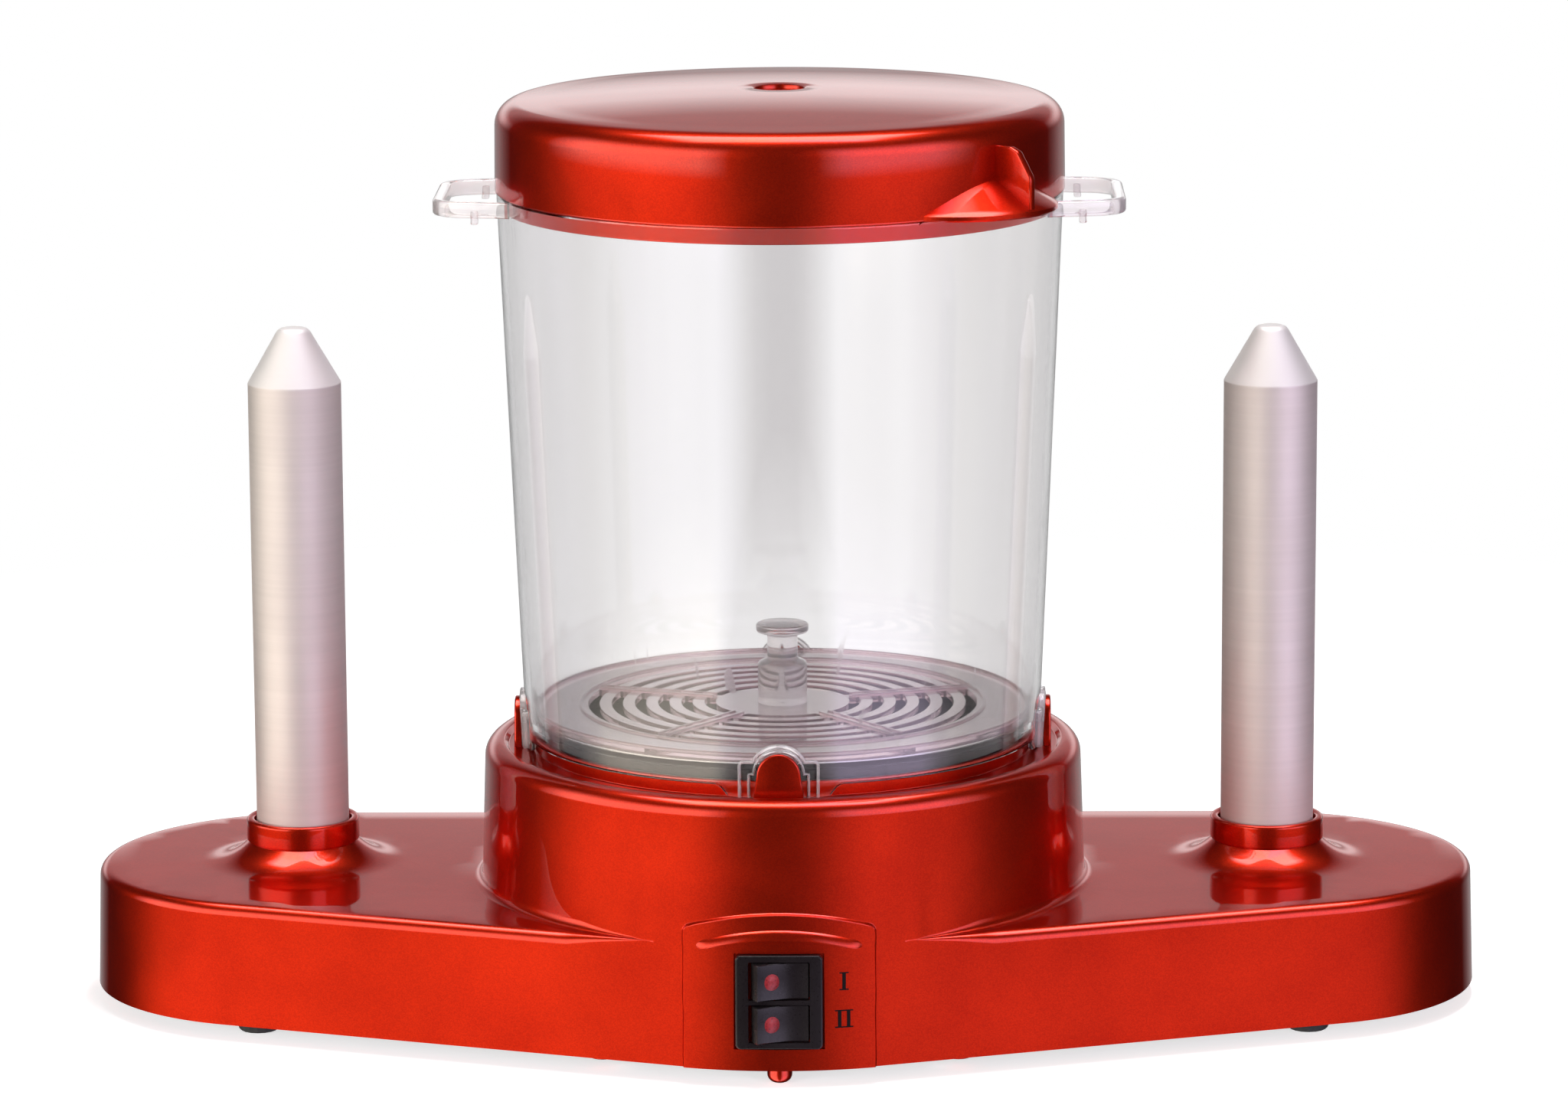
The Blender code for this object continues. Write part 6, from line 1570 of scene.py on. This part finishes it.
@dataclass
class RockerSwitch:
    """The twin rocker switch on the front with its printed marks."""

    palette: Palette
    width: float = 0.0254
    height: float = 0.0280
    middle_z: float = 0.0255
    seat: float = 0.0914
    thickness: float = 0.0022
    bay_width: float = 0.0178
    bay_height: float = 0.0114
    bay_depth: float = 0.0085
    web: float = 0.0013
    rocker_height: float = 0.0108
    tilt: float = math.radians(15)
    dip: float = 0.0030
    lens_radius: float = 0.00255
    lens_offset: float = 0.0030

    def front(self) -> float:
        """Distance of the bezel's front face from the drum's axis."""
        return self.seat + self.thickness

    def heights(self) -> dict[str, float]:
        """The height of each rocker's middle."""
        step = (self.bay_height + self.web) / 2
        return {"upper": self.middle_z + step, "lower": self.middle_z - step}

    def make_bezel(self) -> bpy.types.Object:
        """The bezel: a rounded frame whose face falls into two bays with plain walls."""
        surface = Surface()
        outer = round_rectangle(self.width, self.height, 0.0015, (0, self.middle_z), 5)
        normals = loop_normals(outer)
        front, edge = self.front(), 0.0006
        turn = np.linspace(0, math.pi / 2, 5)
        rings = [np.column_stack([outer, np.full(len(outer), self.seat)])]
        for angle in turn:
            draw = edge * (1 - math.cos(angle))
            rings.append(np.column_stack([outer - normals * draw, np.full(len(outer), front - edge + edge * math.sin(angle))]))
        surface.add_grid(carried(np.array(rings), facing_front()), wrap_columns=True)
        face = [Vector(point) for point in (outer - normals * edge).tolist()]
        edges = [(i, (i + 1) % len(outer)) for i in range(len(outer))]
        bays = []
        for z in self.heights().values():
            bay = round_rectangle(self.bay_width, self.bay_height, 0.0004, (0, z), 3)
            bays.append(bay)
            first = len(face)
            face += [Vector(point) for point in bay.tolist()]
            edges += [(first + i, first + (i + 1) % len(bay)) for i in range(len(bay))]
            walls = [np.column_stack([bay, np.full(len(bay), front)]),
                     np.column_stack([bay, np.full(len(bay), front - self.bay_depth)])]
            surface.add_grid(carried(np.array(walls), facing_front()), wrap_columns=True)
            surface.add_cap(carried(walls[1], facing_front()))
        found = delaunay_2d_cdt(face, edges, [], 1, 1e-7)
        flat = np.array([tuple(point) for point in found[0]])
        triangles = np.array([tri for tri in found[2] if len(tri) == 3])
        centres = flat[triangles].mean(axis=1)
        keep = np.ones(len(triangles), dtype=bool)
        for z in self.heights().values():
            keep &= ~((np.abs(centres[:, 0]) < self.bay_width / 2) & (np.abs(centres[:, 1] - z) < self.bay_height / 2))
        points = np.column_stack([flat, np.full(len(flat), front)])
        surface.add_triangles(carried(points, facing_front()), triangles[keep])
        return surface.piece("switch_bezel", self.palette.black, Body.BASE, "black_plastic")

    def rocker_place(self, z: float) -> np.ndarray:
        """The matrix from a rocker's own axes, about its pivot, to the frame's."""
        return shifted(0, self.dip - self.front(), z) @ turned_about_z(self.tilt)

    def make_rocker(self, name: str, z: float) -> bpy.types.Object:
        """One rocker: its plan outline with a dished face, as a plate with rounded rims."""
        x = np.linspace(-0.0076, 0.0076, 17)
        dish = -0.0030 - 0.0015 * (x / 0.0076) ** 2
        face = np.column_stack([x, dish])
        rest = np.array([[0.0083, -0.0030], [0.0084, -0.0010], [0.0081, 0.0008], [0.0052, 0.0046],
                         [-0.0052, 0.0046], [-0.0081, 0.0008], [-0.0084, -0.0010], [-0.0083, -0.0030]])
        outline = np.concatenate([face, rest])
        half = self.rocker_height / 2
        surface = Surface()
        add_slab(surface, outline, -half, half, 0.0004, self.rocker_place(z))
        body = Body.UPPER_ROCKER if name == "upper" else Body.LOWER_ROCKER
        piece = surface.piece(name + "_rocker_cap", self.palette.black, body, "black_plastic")
        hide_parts(name + "_rocker")
        return piece

    def make_lens(self, name: str, z: float) -> bpy.types.Object:
        """The domed lens in a rocker's face."""
        profile = np.array([[0, 0.0007], [0.0012, 0.0006], [0.0019, 0.00035], [0.0024, 0.0001],
                            [self.lens_radius, -0.0002], [self.lens_radius, -0.0012], [0, -0.0012]])
        grid = lathe(profile, 48)
        slope = 0.0015 / 0.0076 * 2 * self.lens_offset / 0.0076
        lean = np.array([[1, 0, 0, 0], [0, 0, -1, 0], [0, 1, 0, 0], [0, 0, 0, 1]], dtype=float)
        middle = shifted(-self.lens_offset, -0.0030 - 0.0015 * (self.lens_offset / 0.0076) ** 2, 0)
        place = self.rocker_place(z) @ middle @ turned_about_z(math.atan(slope)) @ lean
        surface = Surface()
        surface.add_grid(carried(grid, place), wrap_rows=True)
        body = Body.UPPER_ROCKER if name == "upper" else Body.LOWER_ROCKER
        piece = surface.piece(name + "_lens_dome", self.palette.lens, body, "red_lens")
        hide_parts(name + "_lens")
        return piece

    def make_marks(self) -> bpy.types.Object:
        """The printed numerals one and two beside the rockers, thin on the panel's face."""
        surface = Surface()
        height, stroke, serif, bar = 0.0053, 0.00105, 0.0027, 0.0004
        for z, stems in ((0.0312, (0.0,)), (0.0201, (-0.0013, 0.0013))):
            middle = 0.0188
            width = serif + (stems[-1] - stems[0])
            boxes = [(middle + stem, z, stroke, height) for stem in stems]
            boxes += [(middle, z + height / 2 - bar / 2, width, bar), (middle, z - height / 2 + bar / 2, width, bar)]
            for x, up, wide, tall in boxes:
                xs = np.linspace(x - wide / 2, x + wide / 2, 4)
                zs = np.linspace(up - tall / 2, up + tall / 2, 3)
                gx, gz = np.meshgrid(xs, zs)
                housing = Housing(self.palette)
                radius = housing.drum_radius(gz) + housing.panel_rise + 0.00004
                surface.add_grid(np.stack([gx, -np.sqrt(radius ** 2 - gx ** 2), gz], axis=-1))
        return surface.piece("printed_numerals", self.palette.ink, Body.BASE, "black_plastic")

    def build(self) -> list[bpy.types.Object]:
        """Makes every piece and hides the plain switch."""
        bezel = self.make_bezel()
        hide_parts("switch_body")
        pieces = [bezel, self.make_marks()]
        for name, z in self.heights().items():
            pieces += [self.make_rocker(name, z), self.make_lens(name, z)]
        return pieces


class FrameFinishes:
    """Finishes for the CAD pieces that stay as they are."""

    def __init__(self, palette: Palette) -> None:
        """Keeps the finishes by record slot."""
        self.by_slot = {
            "red_gloss": palette.red, "clear_plastic": palette.clear, "satin_aluminium": palette.spike,
            "pan_metal": palette.pan, "steel": palette.steel, "brass": palette.brass,
            "black_plastic": palette.black, "black_rubber": palette.rubber, "red_lens": palette.lens,
            "silicone": palette.silicone, "ceramic": palette.ceramic,
        }

    def build(self) -> None:
        """Gives each CAD node the finish of its slot."""
        for part in frame["record"]["subparts"]:
            item = frame["nodes"].get(part["node"])
            if item is None:
                continue
            finish = self.by_slot[part["material_slot"]]
            for slot in item.material_slots:
                slot.material = finish
            LOG.info("%s: %s", part["node"], finish.name)


@dataclass
class Studio:
    """The camera, the pale floor, the lamps and the white surroundings."""

    distance: float = 1.900
    height: float = 0.51271
    pitch: float = 0.1938
    aside: float = 0.03136
    yaw: float = 0.01616
    roll: float = -0.0055
    focal_pixels: float = 8439.06
    picture_width: int = 2048
    floor_tone: float = 0.62
    floor_mirror: float = 0.05
    floor_glow: float = 0.66
    fade_start: float = 0.30
    fade_end: float = 0.75
    room_front: float = 0.012
    room_left: float = 2.85
    room_right: float = 2.0
    room_above: float = 8.0
    room_back_level: float = 0.35
    room_back_low: float = 1.25
    room_back_high: float = 0.41
    room_fill: float = 0.30
    left_tint: Colour = (1.0, 0.93, 0.80)
    right_tint: Colour = (1.0, 0.89, 1.2)

    def make_camera(self) -> None:
        """A long lens tilted down a little and turned a third of a degree about its own axis."""
        data = bpy.data.cameras.new("camera")
        data.sensor_fit = "HORIZONTAL"
        data.sensor_width = 36.0
        data.lens = 36.0 * self.focal_pixels / self.picture_width
        data.clip_start, data.clip_end = 0.01, 50
        camera = bpy.data.objects.new("camera", data)
        camera.location = (self.aside, -self.distance, self.height)
        turn = Euler((math.pi / 2 - self.pitch, 0, self.yaw)).to_matrix() @ Euler((0, 0, self.roll)).to_matrix()
        camera.rotation_euler = turn.to_euler()
        bpy.context.scene.collection.objects.link(camera)
        bpy.context.scene.camera = camera

    def make_floor(self) -> None:
        """A wide pale floor: it keeps the soft shadow near the object and fades into the white room.

        The camera's share of plain white grows with a smooth step over the distance from the middle.
        Reflections see the room through the floor, and soft light sees it darker than the camera does.
        """
        surface = Surface()
        line = np.linspace(-4, 4, 9)
        x, y = np.meshgrid(line, line)
        surface.add_grid(np.stack([x, y, np.full_like(x, -0.0002)], axis=-1))
        mesh = bpy.data.meshes.new("floor")
        mesh.from_pydata(np.concatenate(surface.points).tolist(), [], surface.faces)
        item = bpy.data.objects.new("floor", mesh)
        bpy.context.scene.collection.objects.link(item)
        material = bpy.data.materials.new("pale_floor")
        material.use_nodes = True
        sheet = Sheet(material.node_tree)
        material.node_tree.nodes.remove(material.node_tree.nodes["Principled BSDF"])
        path = sheet.add("ShaderNodeLightPath")
        seen = sheet.math("MAXIMUM", path.outputs["Is Camera Ray"], path.outputs["Is Transmission Ray"])
        tone = sheet.mix(seen, (self.floor_mirror,) * 3, (self.floor_tone,) * 3)
        plain = sheet.add("ShaderNodeBsdfDiffuse", {"Color": tone})
        glow = sheet.add("ShaderNodeEmission", {"Color": (1.0, 1.0, 1.0, 1.0)})
        sheet.tree.links.new(sheet.math("MULTIPLY", seen, self.floor_glow), glow.inputs["Strength"])
        near = sheet.add("ShaderNodeAddShader", {0: plain.outputs[0], 1: glow.outputs[0]})
        white = sheet.add("ShaderNodeEmission", {"Color": (1.0, 1.0, 1.0, 1.0)})
        place = sheet.add("ShaderNodeTexCoord").outputs["Object"]
        away = sheet.add("ShaderNodeVectorMath", {0: place}, operation="LENGTH").outputs["Value"]
        share = sheet.math("MULTIPLY", sheet.span(away, self.fade_start, self.fade_end), seen)
        both = sheet.add("ShaderNodeMixShader", {0: share, 1: near.outputs[0], 2: white.outputs[0]})
        open_ = sheet.add("ShaderNodeBsdfTransparent")
        final = sheet.add("ShaderNodeMixShader", {0: path.outputs["Is Glossy Ray"], 1: both.outputs[0],
                                                  2: open_.outputs[0]})
        material.node_tree.links.new(final.outputs[0], material.node_tree.nodes["Material Output"].inputs["Surface"])
        mesh.materials.append(material)

    def make_world(self) -> None:
        """White to the camera. Reflections see a pale back, two upright soft boxes and one above.

        A box's strength is a product of clamped ramps: over the turn round Z for its upright edges and
        over the height for a dark gap at the level that the upright walls mirror.
        """
        world = bpy.data.worlds.new("white_room")
        bpy.context.scene.world = world
        world.use_nodes = True
        sheet = Sheet(world.node_tree)
        back = world.node_tree.nodes["Background"]
        back.inputs["Color"].default_value = (1.0, 1.0, 1.0, 1.0)
        direction = sheet.add("ShaderNodeTexCoord").outputs["Generated"]
        separate = sheet.add("ShaderNodeSeparateXYZ", {0: direction})
        x, y, z = (separate.outputs[axis] for axis in "XYZ")
        behind = sheet.span(y, 0.74, 0.90)
        rise = sheet.span(z, 0.0, 0.11, self.room_back_level, self.room_back_low)
        back_tone = sheet.math("SUBTRACT", rise, sheet.span(z, 0.16, 0.24, 0.0, self.room_back_low - self.room_back_high))
        turn = sheet.math("ARCTAN2", x, sheet.math("MULTIPLY", y, -1.0))
        gap = sheet.span(sheet.math("ABSOLUTE", sheet.math("ADD", z, 0.173)), 0.085, 0.115)
        tall = sheet.math("MULTIPLY", gap, sheet.span(z, 0.35, 0.65, 1.0, 0.0))
        left = sheet.math("MULTIPLY", sheet.span(turn, -1.84, -1.50), sheet.span(turn, -0.54, -0.34, 1.0, 0.0))
        right = sheet.math("MULTIPLY", sheet.span(turn, 0.28, 0.46), sheet.span(turn, 1.15, 1.52, 1.0, 0.0))
        wide = sheet.span(sheet.math("ABSOLUTE", x), 0.33, 0.45, 1.0, 0.0)
        thin = sheet.span(sheet.math("ABSOLUTE", sheet.math("SUBTRACT", y, 0.05)), 0.22, 0.34, 1.0, 0.0)
        above = sheet.math("MULTIPLY", sheet.math("MULTIPLY", wide, thin), sheet.span(z, 0.0, 0.1))
        depth = sheet.math("MULTIPLY", behind, back_tone)
        for share, tone in ((sheet.math("MULTIPLY", left, tall), self.room_left),
                            (sheet.math("MULTIPLY", right, tall), self.room_right), (above, self.room_above)):
            depth = sheet.math("ADD", depth, sheet.math("MULTIPLY", share, tone))
        depth = sheet.math("ADD", depth, self.room_front)
        path = sheet.add("ShaderNodeLightPath")
        glossy = path.outputs["Is Glossy Ray"]
        dim = sheet.math("MULTIPLY", sheet.math("SUBTRACT", 1.0, glossy), self.room_fill)
        lit = sheet.math("ADD", dim, sheet.math("MULTIPLY", glossy, depth))
        clear = sheet.math("MAXIMUM", path.outputs["Is Camera Ray"], path.outputs["Is Transmission Ray"])
        sheet.tree.links.new(sheet.math("MAXIMUM", lit, clear), back.inputs["Strength"])
        tint = sheet.mix(sheet.math("MULTIPLY", left, glossy), (1.0, 1.0, 1.0), self.left_tint)
        tint = sheet.mix(sheet.math("MULTIPLY", right, glossy), tint, self.right_tint)
        sheet.tree.links.new(tint, back.inputs["Color"])

    def add_lamp(self, name: str, place: Vector, target: Vector, size: tuple[float, float],
                 watts: float, colour: Colour = (1, 1, 1)) -> None:
        """Adds a soft box.

        Args:
            name: The lamp's name.
            place: Where it stands.
            target: Where it points.
            size: Its width and height.
            watts: Its power.
            colour: Its colour.
        """
        data = bpy.data.lights.new(name, "AREA")
        data.shape = "RECTANGLE"
        data.size, data.size_y = size
        data.energy = watts
        data.color = colour
        lamp = bpy.data.objects.new(name, data)
        lamp.location = place
        lamp.rotation_euler = (target - place).to_track_quat("-Z", "Y").to_euler()
        lamp.visible_glossy = False
        lamp.visible_transmission = False
        bpy.context.scene.collection.objects.link(lamp)

    def build(self) -> None:
        """Sets up the whole studio."""
        bpy.context.scene.view_settings.view_transform = "Standard"
        self.make_camera()
        self.make_floor()
        self.make_world()
        middle = Vector((0, 0, 0.12))
        self.add_lamp("left_box", Vector((-1.60, -1.85, 0.35)), middle, (1.30, 1.3), 56, (1.0, 0.99, 0.95))
        self.add_lamp("right_box", Vector((1.45, -1.95, 0.35)), middle, (0.70, 1.3), 44, (1.0, 0.85, 1.0))
        self.add_lamp("top_box", Vector((0.15, 0.0, 1.9)), middle, (1.5, 0.28), 26)


def corners(bounds: tuple[Vector, Vector]) -> list[list[float]]:
    """A box's two corners as plain lists."""
    return [list(map(float, corner)) for corner in bounds]


def main() -> None:
    """Builds the hot dog maker piece by piece, then the studio."""
    logging.basicConfig(level=logging.INFO, format="%(name)s: %(message)s")
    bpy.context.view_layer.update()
    palette = Palette(Effects())
    FrameFinishes(palette).build()
    assemblies = [Housing(palette), Spike(palette, Side.LEFT), Spike(palette, Side.RIGHT), Container(palette),
                  Tray(palette), Lid(palette), WaterPan(palette), RockerSwitch(palette)]
    for assembly in assemblies:
        for piece in assembly.build():
            LOG.info("%s is ready", piece.name)
    Studio().build()


if __name__ == "__main__":
    main()
